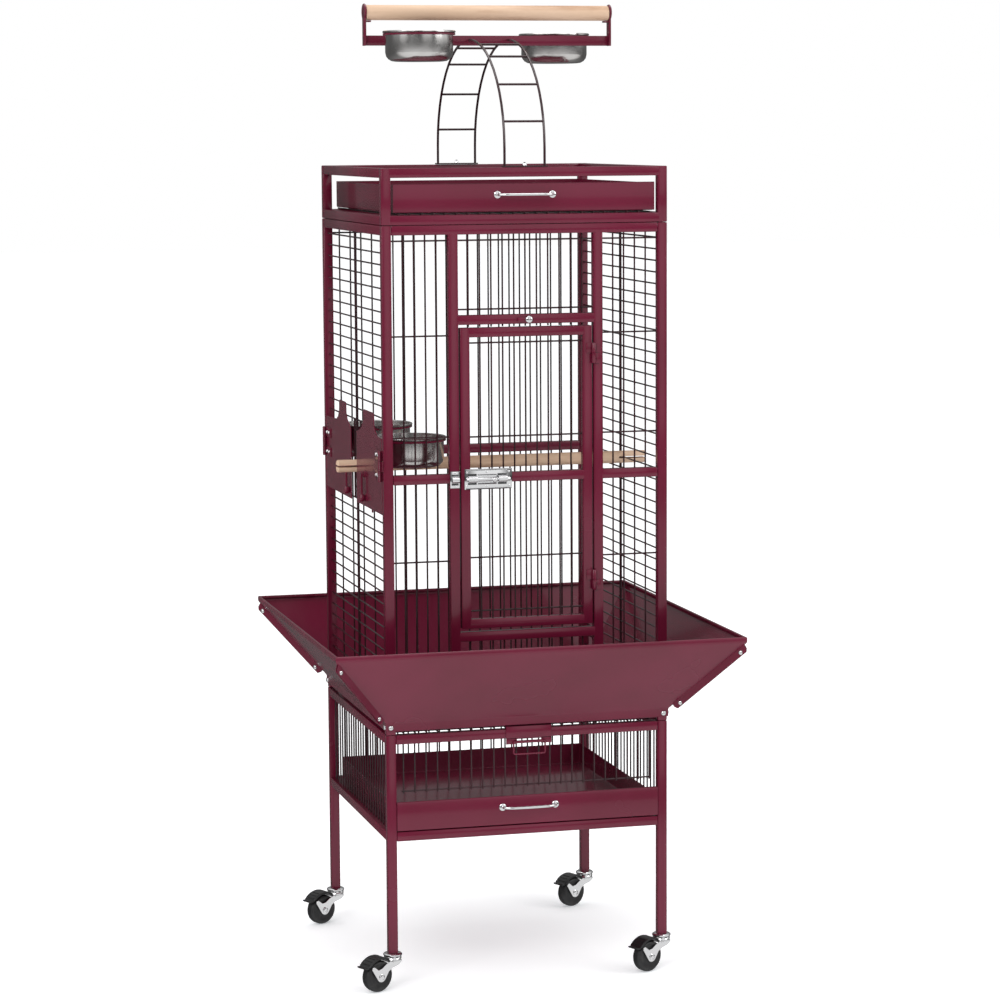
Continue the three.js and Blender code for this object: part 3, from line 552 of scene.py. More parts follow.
# %% [markdown]
# ## The stock sizes
# All frames are 15 mm square tube and the grilles are thin round wire at one spacing. The sizes come
# from the CAD's own boxes where a node shows them, so a change there carries over to here.
# %% Sizes
TUBE = 15
low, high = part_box("cage_left")
HALF = round(-low.x / MM, 2)
INNER = HALF - TUBE
PLANE = HALF - TUBE / 2
BAY = round(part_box("stand_front_rail")[1].x / MM, 2)
PITCH = 18.25
WIRES = 23
FIRST = -11 * PITCH
LOW_RAIL, HIGH_RAIL, LEG_FOOT = 235, 389, 57
STAND_TOP = HIGH_RAIL + TUBE
CAGE_SILL, MID_RAIL = 409.5, 795
CAGE_FLOOR = CAGE_SILL + TUBE
CAGE_TOP = round(high.z / MM, 2)
CAGE_HEAD = CAGE_TOP - TUBE
CAGE_FOOT = round(low.z / MM, 2)
SHY = 0.1        # a rail lies this far under the face of the post it is welded to
ROOT = 3         # how far a rail or wire runs into what it is welded to
print("half width", HALF, "clear bay", BAY, "cage", CAGE_FOOT, "to", CAGE_TOP)


def span(a, b):
    return (a, b) if a < b else (b, a)


def box_of(xs, ys, zs):
    """Low and high corners from three spans, each in any order."""
    sides = [span(*pair) for pair in (xs, ys, zs)]
    return [s[0] for s in sides], [s[1] for s in sides]


def rail_x(x0, x1, face, low):
    """A tube along X between posts; face is -1 at the front and 1 at the back."""
    return box_of((x0, x1), (face * (HALF - SHY), face * (INNER + SHY)), (low + SHY, low + TUBE - SHY))


def rail_y(side, y0, y1, low):
    return box_of((side * (HALF - SHY), side * (INNER + SHY)), (y0, y1), (low + SHY, low + TUBE - SHY))


def post(side, end, z0, z1):
    return box_of((side * HALF, side * INNER), (end * HALF, end * INNER), (z0, z1))


# %% [markdown]
# ## The stand
# Each side of the stand is two legs and two rails welded into a ladder, with upright wires between
# the rails. The rails are drawn a hair thinner than the legs and run a few millimetres into them.
# That gives the fine step of a ground weld, and no two faces ever lie in the same plane, which
# would flicker. The runner that carries the drawer is a small angle along the inner face.
# %% Stand sides
for side, name in ((-1, "left"), (1, "right")):
    body = bars(
        [post(side, end, LEG_FOOT, STAND_TOP) for end in (-1, 1)]
        + [rail_y(side, -INNER - ROOT, INNER + ROOT, z) for z in (LOW_RAIL, HIGH_RAIL)])
    uprights = row_of(
        wire((side * PLANE, FIRST, LOW_RAIL + 12), (side * PLANE, FIRST, HIGH_RAIL + ROOT)),
        (0, PITCH, 0), WIRES)
    runner = bars([
        box_of((side * (INNER + 1), side * (INNER - 8)), (-205, 205), (LOW_RAIL + 13.2, LOW_RAIL + 14.9)),
    ], corner=0.4)
    finish(join([body, runner]), f"stand_{name}_welded", "frame", "frame_paint", [f"stand_{name}"])
    strung([uprights], f"stand_{name}_wires", "frame")

# %% Stand front and rear
rear = bars([rail_x(-BAY, BAY, 1, z) for z in (LOW_RAIL, HIGH_RAIL)])
rear_wires = row_of(
    wire((FIRST, PLANE, LOW_RAIL + 12), (FIRST, PLANE, HIGH_RAIL + ROOT)), (PITCH, 0, 0), WIRES)
finish(rear, "stand_rear_welded", "frame", "frame_paint", ["stand_rear"])
strung([rear_wires], "stand_rear_wires", "frame")

GRILLE_FOOT = 310
grille_rail = bars([rail_x(-BAY, BAY, -1, HIGH_RAIL)])
grille_wires = row_of(
    wire((FIRST, -PLANE, GRILLE_FOOT), (FIRST, -PLANE, HIGH_RAIL + ROOT)), (PITCH, 0, 0), WIRES)
cross = wire((FIRST - 3, -PLANE + 2.4, GRILLE_FOOT + 2.7), (-FIRST + 3, -PLANE + 2.4, GRILLE_FOOT + 2.7))
finish(grille_rail, "stand_front_grille_welded", "frame", "frame_paint", ["stand_front_grille"])
strung([grille_wires, cross], "stand_front_grille_wires", "frame")
finish(bars([rail_x(-BAY, BAY, -1, LOW_RAIL)]), "stand_front_rail_tube", "frame", "frame_paint",
       ["stand_front_rail"])

# %% [markdown]
# ## The litter drawer and the play-top tray
# Both are folded from one thin sheet: a shallow pan with a taller front that hides the gap above the
# rail. A pan is a box without its lid. The lid is deleted, the folds are rounded, and Solidify then
# gives the wall its thickness. The front's top edge is rolled over towards you, so the finger finds
# a smooth lip and not a cut edge.
# %% Folded pans
SHEET = 1.2


def pan(low, high, fold=2.0):
    tray = cuboid(low, high)
    bpy.ops.object.mode_set(mode="EDIT")
    bpy.ops.mesh.select_mode(type="FACE")
    bpy.ops.mesh.select_all(action="DESELECT")
    bpy.ops.object.mode_set(mode="OBJECT")
    for face in tray.data.polygons:
        face.select = face.normal.z > 0.9
    bpy.ops.object.mode_set(mode="EDIT")
    bpy.ops.mesh.delete(type="FACE")
    bpy.ops.object.mode_set(mode="OBJECT")
    modify(tray, "BEVEL", width=fold * MM, segments=3, limit_method="ANGLE", angle_limit=math.radians(40))
    return modify(tray, "SOLIDIFY", thickness=SHEET * MM, offset=-1)


DRAWER_FACE, DRAWER_FOOT, DRAWER_TOP = -229, 251, 297.5
drawer_pan = pan((-210, DRAWER_FACE + 1.3, DRAWER_FOOT), (210, 206, 286))
lip = rounded_path([
    (0, DRAWER_FACE + 8, DRAWER_FOOT + 0.5), (0, DRAWER_FACE, DRAWER_FOOT + 0.5),
    (0, DRAWER_FACE, DRAWER_TOP), (0, DRAWER_FACE + 7, DRAWER_TOP), (0, DRAWER_FACE + 7, DRAWER_TOP - 4),
], 2.2, 3)


def folded(path, x0, x1, thickness=SHEET):
    """A sheet folded along the path, which lies across X; the path is its outer face."""
    deselect()
    bpy.ops.mesh.primitive_circle_add(vertices=3, radius=1)
    sheet = bpy.context.object
    sheet.data.clear_geometry()
    sheet.data.from_pydata(
        [(x0 * MM, p[1] * MM, p[2] * MM) for p in path], [(i, i + 1) for i in range(len(path) - 1)], [])
    bpy.ops.object.mode_set(mode="EDIT")
    bpy.ops.mesh.select_all(action="SELECT")
    bpy.ops.mesh.extrude_edges_move(TRANSFORM_OT_translate={"value": ((x1 - x0) * MM, 0, 0)})
    bpy.ops.mesh.select_all(action="SELECT")
    bpy.ops.mesh.normals_make_consistent(inside=False)
    bpy.ops.object.mode_set(mode="OBJECT")
    middle = max(sheet.data.polygons, key=lambda face: face.area)
    if middle.normal.y > 0:
        sheet.data.flip_normals()
    return modify(sheet, "SOLIDIFY", thickness=thickness * MM, offset=-1)


drawer_front = folded(lip, -BAY + 0.2, BAY - 0.2)
ends = bars([
    box_of((s * (BAY - 0.2), s * (BAY - 1.4)), (DRAWER_FACE + 1, DRAWER_FACE + 8),
           (DRAWER_FOOT + 1, DRAWER_TOP - 1))
    for s in (-1, 1)], corner=0.4)
finish(join([drawer_pan, drawer_front, ends]), "drawer_folded_sheet", "drawer", "frame_paint", ["drawer"])

TRAY_FACE, TRAY_FOOT, TRAY_TOP = -223.5, 1213.4, 1257.5
tray_pan = pan((-207.5, TRAY_FACE + 1.4, TRAY_FOOT), (207.5, 209, 1256))
tray_lip = rounded_path([
    (0, TRAY_FACE + 8, TRAY_FOOT + 0.3), (0, TRAY_FACE, TRAY_FOOT + 0.3), (0, TRAY_FACE, TRAY_TOP),
    (0, TRAY_FACE + 6, TRAY_TOP), (0, TRAY_FACE + 6, TRAY_TOP - 3.5)], 2, 3)
tray_front = folded(tray_lip, -209, 209)
finish(join([tray_pan, tray_front]), "play_tray_folded_sheet", "play_tray", "frame_paint", ["play_tray"])


# %% [markdown]
# The bow handles are chrome rod, bowed out and flattened into round feet with a screw through each.
# The rod follows five points with rounded bends, and a shallow taper comes from the bow itself.
# %% Bow handles
def bow_handle(y, z, half, stand_out):
    rod = bent([
        (-half, y, z), (-half + 1.5, y - stand_out * 0.55, z), (-half * 0.72, y - stand_out * 0.93, z),
        (0, y - stand_out - 0.6, z), (half * 0.72, y - stand_out * 0.93, z),
        (half - 1.5, y - stand_out * 0.55, z), (half, y, z)], 2.3, bend=9, sides_step=3)
    feet = [turned([(5.6, 0), (5.6, 0.9), (4.6, 1.7), (2.4, 2.2), (0.5, 2.3)], (s * half, y, z),
                   (0, -1, 0), 20)
            for s in (-1, 1)]
    return join([rod] + feet)


finish(bow_handle(DRAWER_FACE - 0.1, 280, 43, 13), "drawer_bow_handle", "drawer", "chrome",
       ["drawer_handle"])
finish(bow_handle(TRAY_FACE - 0.1, 1240, 44, 13), "play_tray_bow_handle", "play_tray", "chrome",
       ["play_tray_handle"])

# %% [markdown]
# ## The pull-out grate
# The floor grate slides in the slot under the cage. Its wires run front to back and end in the slot,
# which is why a dotted line of bright gaps shows there. A small hooked plate hangs from the front
# bar, with a wire bail that swings up for a finger.
# %% Grate and bail
GRATE_Z = 406.7
grate_wires = row_of(wire((FIRST, -225.8, GRATE_Z), (FIRST, 206, GRATE_Z)), (PITCH, 0, 0), WIRES)
grate_ends = bars([
    box_of((-210, 210), (-211, -205), (404.7, 408.8)),
    box_of((-210, 210), (203, 209), (404.7, 408.8)),
], corner=0.8)
pull = bars([
    box_of((-37, 37), (-HALF - 2.2, -207), (407.4, 408.9)),
    box_of((-37, 37), (-HALF - 2.2, -HALF - 0.8), (388, 408.9)),
    box_of((-37, -20), (-HALF - 2.2, -HALF - 0.8), (380, 390)),
    box_of((20, 37), (-HALF - 2.2, -HALF - 0.8), (380, 390)),
], corner=0.5)
BAIL_Y, BAIL_Z = -HALF - 4.6, 384
sleeve = wire((-22, BAIL_Y, BAIL_Z), (22, BAIL_Y, BAIL_Z), 2.4, 10)
finish(join([grate_ends, pull, sleeve]), "grate_welded", "grate", "frame_paint", ["grate"])
strung([grate_wires], "grate_wires", "grate")
bail = bent([
    (-22.5, BAIL_Y, BAIL_Z), (-25.6, BAIL_Y, BAIL_Z), (-25.6, BAIL_Y, BAIL_Z - 19.5),
    (25.6, BAIL_Y, BAIL_Z - 19.5), (25.6, BAIL_Y, BAIL_Z), (22.5, BAIL_Y, BAIL_Z)], 1.4, bend=3)
finish(bail, "grate_bail_wire", "grate_bail", "frame_paint", ["grate_bail"])

# %% [markdown]
# ## The seed skirt
# The skirt is four folded sheets. Each starts as a narrow flange against the cage's bottom rail, then
# leans out, stands up into a short rim and turns in as a hem, so no cut edge faces a hand. The
# sheet is extruded from the flange edge, and each new edge is widened to keep the mitre. Where two
# sheets meet, both have an ear along the corner, and two bolts clamp the ears together.
# %% Skirt sheets
SKIRT_OUT, SKIRT_RIM, SKIRT_LOW, HEM = 99.3, 549, 411.3, 4.2
FACE = HALF + 0.3
SKIRT_BENDS = [
    (SHEET, SKIRT_LOW), (SHEET, CAGE_FLOOR - 0.9), (SKIRT_OUT, SKIRT_RIM - 2 * HEM), (SKIRT_OUT, SKIRT_RIM),
    (SKIRT_OUT - HEM, SKIRT_RIM), (SKIRT_OUT - HEM, SKIRT_RIM - HEM)]


def skirt_sheet(quarter_turns):
    (out, height) = SKIRT_BENDS[0]
    deselect()
    bpy.ops.mesh.primitive_circle_add(vertices=3, radius=1)
    sheet = bpy.context.object
    sheet.data.clear_geometry()
    half = FACE + out - 0.15
    sheet.data.from_pydata(
        [(-half * MM, -(FACE + out) * MM, height * MM), (half * MM, -(FACE + out) * MM, height * MM)],
        [(0, 1)], [])
    bpy.ops.object.mode_set(mode="EDIT")
    bpy.ops.mesh.select_all(action="SELECT")
    for next_out, next_height in SKIRT_BENDS[1:]:
        move = (0, -(next_out - out) * MM, (next_height - height) * MM)
        bpy.ops.mesh.extrude_edges_move(TRANSFORM_OT_translate={"value": move})
        wider = (FACE + next_out - 0.15) / (FACE + out - 0.15)
        bpy.ops.transform.resize(value=(wider, 1, 1), center_override=(0, 0, 0))
        out, height = next_out, next_height
    bpy.ops.mesh.select_all(action="SELECT")
    bpy.ops.mesh.normals_make_consistent(inside=False)
    bpy.ops.object.mode_set(mode="OBJECT")
    if max(sheet.data.polygons, key=lambda face: face.area).normal.z > 0:
        sheet.data.flip_normals()
    modify(sheet, "BEVEL", width=1.6 * MM, segments=3, limit_method="ANGLE", angle_limit=math.radians(20))
    modify(sheet, "SOLIDIFY", thickness=SHEET * MM, offset=-1)
    sheet.rotation_euler = (0, 0, quarter_turns * math.pi / 2)
    return settle(sheet)


for turn, name in enumerate(("front", "right", "rear", "left")):
    finish(skirt_sheet(turn), f"skirt_{name}_folded_sheet", "frame", "frame_paint", [f"skirt_{name}"],
           smooth=30)

# %% Corner ears and their bolts
EAR_START, EAR_END, EAR_WIDTH = 0.06, 0.965, 10.5
slope = Vector((SKIRT_OUT - SHEET, SKIRT_OUT - SHEET, SKIRT_RIM - 2 * HEM - CAGE_FLOOR))
along = slope.normalized()
flat_out = Vector((1, 1, 0)).normalized()
away = (flat_out - along * flat_out.dot(along)).normalized()
sideways = Vector((1, -1, 0)).normalized()
corner_foot = Vector((FACE + SHEET, FACE + SHEET, CAGE_FLOOR))
for turn, name in enumerate(("rear_right", "rear_left", "front_left", "front_right")):
    spin = Matrix.Rotation(turn * math.pi / 2, 3, "Z")
    start = corner_foot + slope * EAR_START
    end = corner_foot + slope * EAR_END
    ears = []
    for layer in (-1, 1):
        shift = sideways * layer * 0.8
        outline = [
            start - away + shift, end - away + shift, end + away * (EAR_WIDTH - 4) + shift - along * 1,
            end + away * EAR_WIDTH + shift - along * 5, start + away * EAR_WIDTH + shift + along * 3,
            start + away * (EAR_WIDTH - 5) + shift]
        ears.append(plate([spin @ p for p in outline], spin @ (sideways * layer * SHEET), corner=0.3))
    finish(join(ears), f"skirt_ears_{name}", "frame", "frame_paint")
    bolts = []
    for share in (EAR_START + 0.07, EAR_END - 0.07):
        middle = corner_foot + slope * share + away * (EAR_WIDTH * 0.55)
        for layer, kind in ((-1, dome), (1, dome)):
            bolts.append(kind(spin @ (middle + sideways * layer * 2.0), spin @ (sideways * layer), 4))
    finish(join(bolts), f"skirt_ear_bolts_{name}", "frame", "chrome")

# %% Bolts through the flange into the posts
flange_bolts = []
for side in (-1, 1):
    for end in (-1, 1):
        flange_bolts.append(dome((side * (PLANE + 1), end * (FACE + SHEET), 416.5), (0, end, 0)))
        flange_bolts.append(dome((side * (FACE + SHEET), end * (PLANE + 1), 416.5), (side, 0, 0)))
finish(join(flange_bolts), "skirt_flange_bolts", "frame", "chrome")

# %% [markdown]
# ## The cage walls
# A wall is four tubes and a sheet of wires. The side walls carry level wires that a bird can climb,
# with one thicker upright in the middle. Front and rear have upright wires, and a cross wire welded
# behind them near each end keeps them in step. One wire is drawn and an Array modifier repeats it at
# the wire spacing, so a whole wall costs two operations.
# %% Side walls
PERCH_Z = 805
LEVELS = 41
BOTTOM_LEVEL = PERCH_Z - 20 * PITCH
OPENING_FIRST, OPENING_LAST = 18, 23     # levels cut short at the feeder openings
FEEDER_RODS = {-1: 29, 1: 19}


def levels(side, y0, y1, first, last):
    z = BOTTOM_LEVEL + first * PITCH
    return row_of(wire((side * PLANE, y0, z), (side * PLANE, y1, z)), (0, 0, PITCH), last - first + 1)


def side_frame(side):
    return bars(
        [post(side, end, CAGE_FOOT, CAGE_TOP) for end in (-1, 1)]
        + [rail_y(side, -INNER - ROOT, INNER + ROOT, z) for z in (CAGE_SILL, CAGE_HEAD)])


def middle_rod(side):
    return wire((side * PLANE, 0, CAGE_FLOOR - ROOT), (side * PLANE, 0, CAGE_HEAD + ROOT), 2.25, 12)


full = INNER + ROOT
finish(side_frame(1), "cage_right_welded", "frame", "frame_paint", ["cage_right"])
strung([middle_rod(1), levels(1, -full, full, 0, LEVELS - 1)], "cage_right_wires", "frame")

finish(side_frame(-1), "cage_left_welded", "frame", "frame_paint", ["cage_left"])
left_wall = [
    middle_rod(-1),
    levels(-1, -full, full, 0, OPENING_FIRST - 1),
    levels(-1, -FEEDER_RODS[-1], FEEDER_RODS[1], OPENING_FIRST, OPENING_LAST),
    levels(-1, -full, full, OPENING_LAST + 1, LEVELS - 1)]
for reach, side in ((FEEDER_RODS[-1], -1), (FEEDER_RODS[1], 1)):
    low_z = BOTTOM_LEVEL + (OPENING_FIRST - 1) * PITCH
    high_z = BOTTOM_LEVEL + (OPENING_LAST + 1) * PITCH
    left_wall.append(wire((-PLANE, side * reach, low_z), (-PLANE, side * reach, high_z), 1.7, 10))
strung(left_wall, "cage_left_wires", "frame")

# %% Rear wall
rear_wall = bars([rail_x(-BAY, BAY, 1, z) for z in (CAGE_SILL, MID_RAIL, CAGE_HEAD)])
rear_uprights = row_of(
    wire((FIRST, PLANE, CAGE_FLOOR - ROOT), (FIRST, PLANE, CAGE_HEAD + ROOT)), (PITCH, 0, 0), WIRES)
CROSS_Z = 1170.5
CROSS_STEP = 2.4         # a cross wire lies this far behind the upright wires
rear_cross = wire((-BAY, PLANE + CROSS_STEP, CROSS_Z), (BAY, PLANE + CROSS_STEP, CROSS_Z))
finish(rear_wall, "cage_rear_welded", "frame", "frame_paint", ["cage_rear"])
strung([rear_uprights, rear_cross], "cage_rear_wires", "frame")

# %% Front wall
JAMB = 108.5
DOOR_SILL, CROSS_RAIL = 546, 1040.5
SECTION = (141.7, 159.4, 177.1, 194.8)
SECTION_CROSS = (673, 867, 1024)
tubes = [rail_x(-BAY, BAY, -1, z) for z in (CAGE_SILL, CAGE_HEAD)]
tubes += [rail_x(-JAMB - ROOT, JAMB + ROOT, -1, z) for z in (DOOR_SILL, CROSS_RAIL)]
front_wires = []
CROSS_Y = -PLANE + CROSS_STEP
for side in (-1, 1):
    tubes.append(box_of((side * JAMB, side * (JAMB + TUBE)), (-HALF, -INNER),
                        (CAGE_FLOOR - ROOT, CAGE_HEAD + ROOT)))
    tubes.append(rail_x(side * (JAMB + TUBE - ROOT), side * BAY, -1, MID_RAIL))
    for x in SECTION:
        front_wires.append(wire((side * x, -PLANE, CAGE_FLOOR - ROOT),
                                (side * x, -PLANE, CAGE_HEAD + ROOT)))
    for z in SECTION_CROSS:
        front_wires.append(wire((side * (JAMB + TUBE - ROOT), CROSS_Y, z), (side * BAY, CROSS_Y, z)))
SHORT_RUNS = ((CAGE_FLOOR - ROOT, DOOR_SILL + ROOT), (1037, CROSS_RAIL + ROOT),
              (CROSS_RAIL + TUBE - ROOT, CAGE_HEAD + ROOT))
for z0, z1 in SHORT_RUNS:
    front_wires.append(row_of(wire((-5 * PITCH, -PLANE, z0), (-5 * PITCH, -PLANE, z1)), (PITCH, 0, 0), 11))
front_wires.append(wire((-BAY, CROSS_Y, CROSS_Z), (BAY, CROSS_Y, CROSS_Z)))
front_wires.append(wire((-JAMB - ROOT, CROSS_Y, 1064), (JAMB + ROOT, CROSS_Y, 1064)))
finish(bars(tubes), "cage_front_welded", "frame", "frame_paint", ["cage_front"])
strung(front_wires, "cage_front_wires", "frame")

# %% [markdown]
# ## The door
# The door is the same tube and wire as the walls, with a middle rail that carries the bolt. It turns
# on two barrel hinges at its right edge. A barrel is a pair of knuckles on one pin. The upper knuckle
# belongs to the door and the lower one to the jamb, so the door can lift off.
# %% Door frame and wires
DOOR_HALF, DOOR_LOW, DOOR_HIGH = 106, 566, 1036
inside = DOOR_HALF - TUBE
stiles = [box_of((s * DOOR_HALF, s * inside), (-HALF, -INNER), (DOOR_LOW, DOOR_HIGH)) for s in (-1, 1)]
door_rails = [rail_x(-inside - ROOT, inside + ROOT, -1, z) for z in (DOOR_LOW, MID_RAIL, DOOR_HIGH - TUBE)]
door_wires = [row_of(
    wire((-4 * PITCH, -PLANE, DOOR_LOW + TUBE - ROOT), (-4 * PITCH, -PLANE, DOOR_HIGH - TUBE + ROOT)),
    (PITCH, 0, 0), 9)]
for z in (593, 677, 866, 1012):
    door_wires.append(wire((-inside - ROOT, CROSS_Y, z), (inside + ROOT, CROSS_Y, z)))

HINGE_X, HINGE_Y, HINGE_R, HINGE_HALF = 107.2, -HALF - 3.7, 3.4, 16
HINGE_LEVELS = {"lower": 636, "upper": 993}


def knuckle(z, part):
    """One half of a barrel hinge: part 1 is the door's upper half, -1 the jamb's lower half."""
    near, far = z + part * 0.15, z + part * HINGE_HALF
    r = HINGE_R
    barrel = turned(
        [(r - 0.5, 0), (r, 0.5), (r, HINGE_HALF - 1.4), (r - 0.8, HINGE_HALF - 0.3),
         (1, HINGE_HALF - 0.15)],
        (HINGE_X, HINGE_Y, near), (0, 0, part), 20)
    leaf = bars([
        box_of((HINGE_X, HINGE_X - part * 11.5), (-HALF - 1.6, -HALF - (0.3 if part < 0 else -0.5)),
               (near, far)),
        box_of((HINGE_X - 1, HINGE_X + 1), (HINGE_Y, -HALF - 0.4), (near, far))], corner=0.3)
    return join([barrel, leaf])


door_parts = [bars(stiles + door_rails)] + [knuckle(z, 1) for z in HINGE_LEVELS.values()]
finish(join(door_parts), "door_welded", "door", "frame_paint", ["door"])
strung(door_wires, "door_wires", "door")
for name, z in HINGE_LEVELS.items():
    finish(knuckle(z, -1), f"door_hinge_{name}_knuckle", "frame", "frame_paint", [f"door_hinge_{name}"])

# %% [markdown]
# The slide bolt is pressed steel, plated bright. Its rod runs in two saddles, which are straps bent
# over it and riveted to a plate, and a keeper of the same form sits on the jamb. A saddle is drawn as
# an outline of the bent strap seen from the end, then extruded to its width.
# %% Slide bolt
BOLT_Y, BOLT_Z, ROD_R = -HALF - 6, 801, 3.2


def saddle(x0, x1):
    """A strap bent over the rod, with a foot above and below."""
    inner_r, outer_r = ROD_R + 0.5, ROD_R + 1.7
    back = -HALF - 1.6
    outline = [(back, 8.5), (back - 1.2, 8.5), (back - 1.2, outer_r + 0.4)]
    outline += [(BOLT_Y - outer_r * math.cos(a), outer_r * math.sin(a))
                for a in (math.radians(d) for d in range(60, -61, -15))]
    outline += [(back - 1.2, -outer_r - 0.4), (back - 1.2, -8.5), (back, -8.5), (back, -inner_r)]
    outline += [(BOLT_Y - inner_r * math.cos(a), inner_r * math.sin(a))
                for a in (math.radians(d) for d in range(-75, 76, 15))]
    outline += [(back, inner_r)]
    points = [(x0, y, BOLT_Z + z) for y, z in outline]
    return plate(points, (x1 - x0, 0, 0), corner=0)


def rivets(places):
    return [turned([(1.9, -0.1), (1.7, 0.5), (1.0, 0.9), (0.3, 1)], (x, -HALF - 1.6, z), (0, -1, 0), 12)
            for x, z in places]


bolt_plate = bars([box_of((-101, -25), (-HALF - 1.6, -HALF - 0.3), (BOLT_Z - 16, BOLT_Z + 16))], corner=0.5)
bolt_rivets = rivets([(x, BOLT_Z + s * 11) for x in (-97, -66, -30) for s in (-1, 1)])
bolt_ribs = [wire((-99, -HALF - 1.6, BOLT_Z + rise), (-27, -HALF - 1.6, BOLT_Z + rise), 1.2, 10)
             for rise in (-14.6, 14.6)]
bolt_ribs += [wire((-80, -HALF - 1.6, BOLT_Z + rise), (-50, -HALF - 1.6, BOLT_Z + rise), 1.3, 10)
              for rise in (-7, 7)]
finish(join([bolt_plate, saddle(-96, -82), saddle(-48, -34)] + bolt_rivets + bolt_ribs),
       "bolt_plate_and_saddles", "door",
       "chrome", ["bolt_body"], smooth=30)
rod = turned([(1.6, 0), (2.9, 1.2), (3.2, 2.4), (3.2, 69), (2.6, 70)], (-99, BOLT_Y, BOLT_Z), (1, 0, 0), 20)
stem = turned([(2.2, 0), (2.0, 3), (1.8, 7), (2.4, 9), (3.9, 10.4), (4.1, 12), (3.7, 13.8), (2.4, 14.9),
               (0.4, 15.2)],
              (-57, BOLT_Y, BOLT_Z), (0, -1, 0), 18)
finish(join([rod, stem]), "bolt_rod_and_knob", "bolt_rod", "chrome", ["bolt_rod"])
keeper_plate = bars([box_of((-124, -108.8), (-HALF - 1.6, -HALF - 0.3), (BOLT_Z - 13, BOLT_Z + 13))],
                    corner=0.5)
keeper_rivets = rivets([(-116.4, BOLT_Z + s * 10.6) for s in (-1, 1)])
finish(join([keeper_plate, saddle(-122, -111)] + keeper_rivets), "bolt_keeper_and_saddle", "frame",
       "chrome",
       ["bolt_keeper"], smooth=30)

# %% Turn button over the door
BUTTON_X, BUTTON_Z = 2.6, 1047.5
washer = turned([(5.5, 0.4), (5.5, 1.6), (4.8, 2.0), (0.5, 2.0)], (BUTTON_X, -HALF, BUTTON_Z),
                (0, -1, 0), 20)
tongue = bars([box_of((-15, BUTTON_X), (-HALF - 3.3, -HALF - 1.3), (BUTTON_Z - 3.5, BUTTON_Z + 3.5))],
              corner=0.6)
finish(join([washer, tongue]), "turn_button_tongue", "turn_button", "frame_paint", ["turn_button"])
knob = turned([(3, 2.4), (5.4, 3.2), (6.1, 4.8), (5.9, 6.8), (4.6, 8.1), (2.2, 8.7), (0.4, 8.8)],
              (BUTTON_X, -HALF, BUTTON_Z), (0, -1, 0), 24)
finish(knob, "turn_button_knob", "turn_button", "chrome")

# %% [markdown]
# ## The side feeders
# Each feeder is a small steel door in the left wall with a flat ring inside that holds a cup. Its
# outline rises to a crown, so the plate still covers the opening behind the tall cup. The plate
# hangs on wire-wrapped knuckles at the corner post, and a turning latch near its free edge hooks
# behind the wall's upright. The outline is cut as one plate and thickened.
# %% Feeder doors
PLATE_LOW, SHOULDER, CROWN = 748, 867, 902
FEEDER_CUP_X, FEEDER_RIM, PLATE_THICK = -161.5, 860.4, 1.5
LATCH_Z = 799
CUP = dict(r=53.5, rim=57.5, deep=48)
FEEDERS = {
    "front": dict(side=-1, free=27, rod=29, crown=118, half=38, latch=85, cup=118),
    "rear": dict(side=1, free=17, rod=19, crown=80, half=26, latch=32, cup=118),
}


def cup_ring(x, y, top):
    near, far = CUP["r"] + 0.9, CUP["rim"] - 0.3
    return turned([(near, top - 3), (far - 0.6, top - 3), (far, top - 2.5), (far, top - 0.5),
                   (far - 0.6, top),
                   (near, top), (near, top - 3)], (x, y, 0), (0, 0, 1), 40)


def crown_outline(f):
    rise, foot, edge = CROWN - SHOULDER, f["half"] + 16, INNER - 1
    c, h, z = f["crown"], f["half"], SHOULDER
    return [
        (f["free"], PLATE_LOW), (edge, PLATE_LOW), (edge, z - 6), (edge - 3, z),
        (min(c + foot + 10, edge - 4), z + 1),
        (c + foot - 6, z + rise * 0.2), (c + h + 1, z + rise * 0.5), (c + h, z + rise - 4),
        (c + h - 4, z + rise),
        (c - h + 4, z + rise), (c - h, z + rise - 4), (c - h - 1, z + rise * 0.5),
        (c - foot + 6, z + rise * 0.2),
        (max(c - foot - 10, f["free"] + 4), z + 1), (f["free"], z - 5)]


def curl(x, y, z0, z1, turns=5, radius=3.1):
    """A hinge knuckle of wire wound round its pin."""
    gauge = (z1 - z0) / turns
    profile = [(radius - 0.9, 0)]
    for i in range(turns):
        profile += [(radius - 0.5, gauge * (i + 0.12)), (radius, gauge * (i + 0.5)),
                    (radius - 0.5, gauge * (i + 0.88))]
    profile += [(radius - 0.9, z1 - z0)]
    return turned(profile, (x, y, z0), (0, 0, 1), 16)


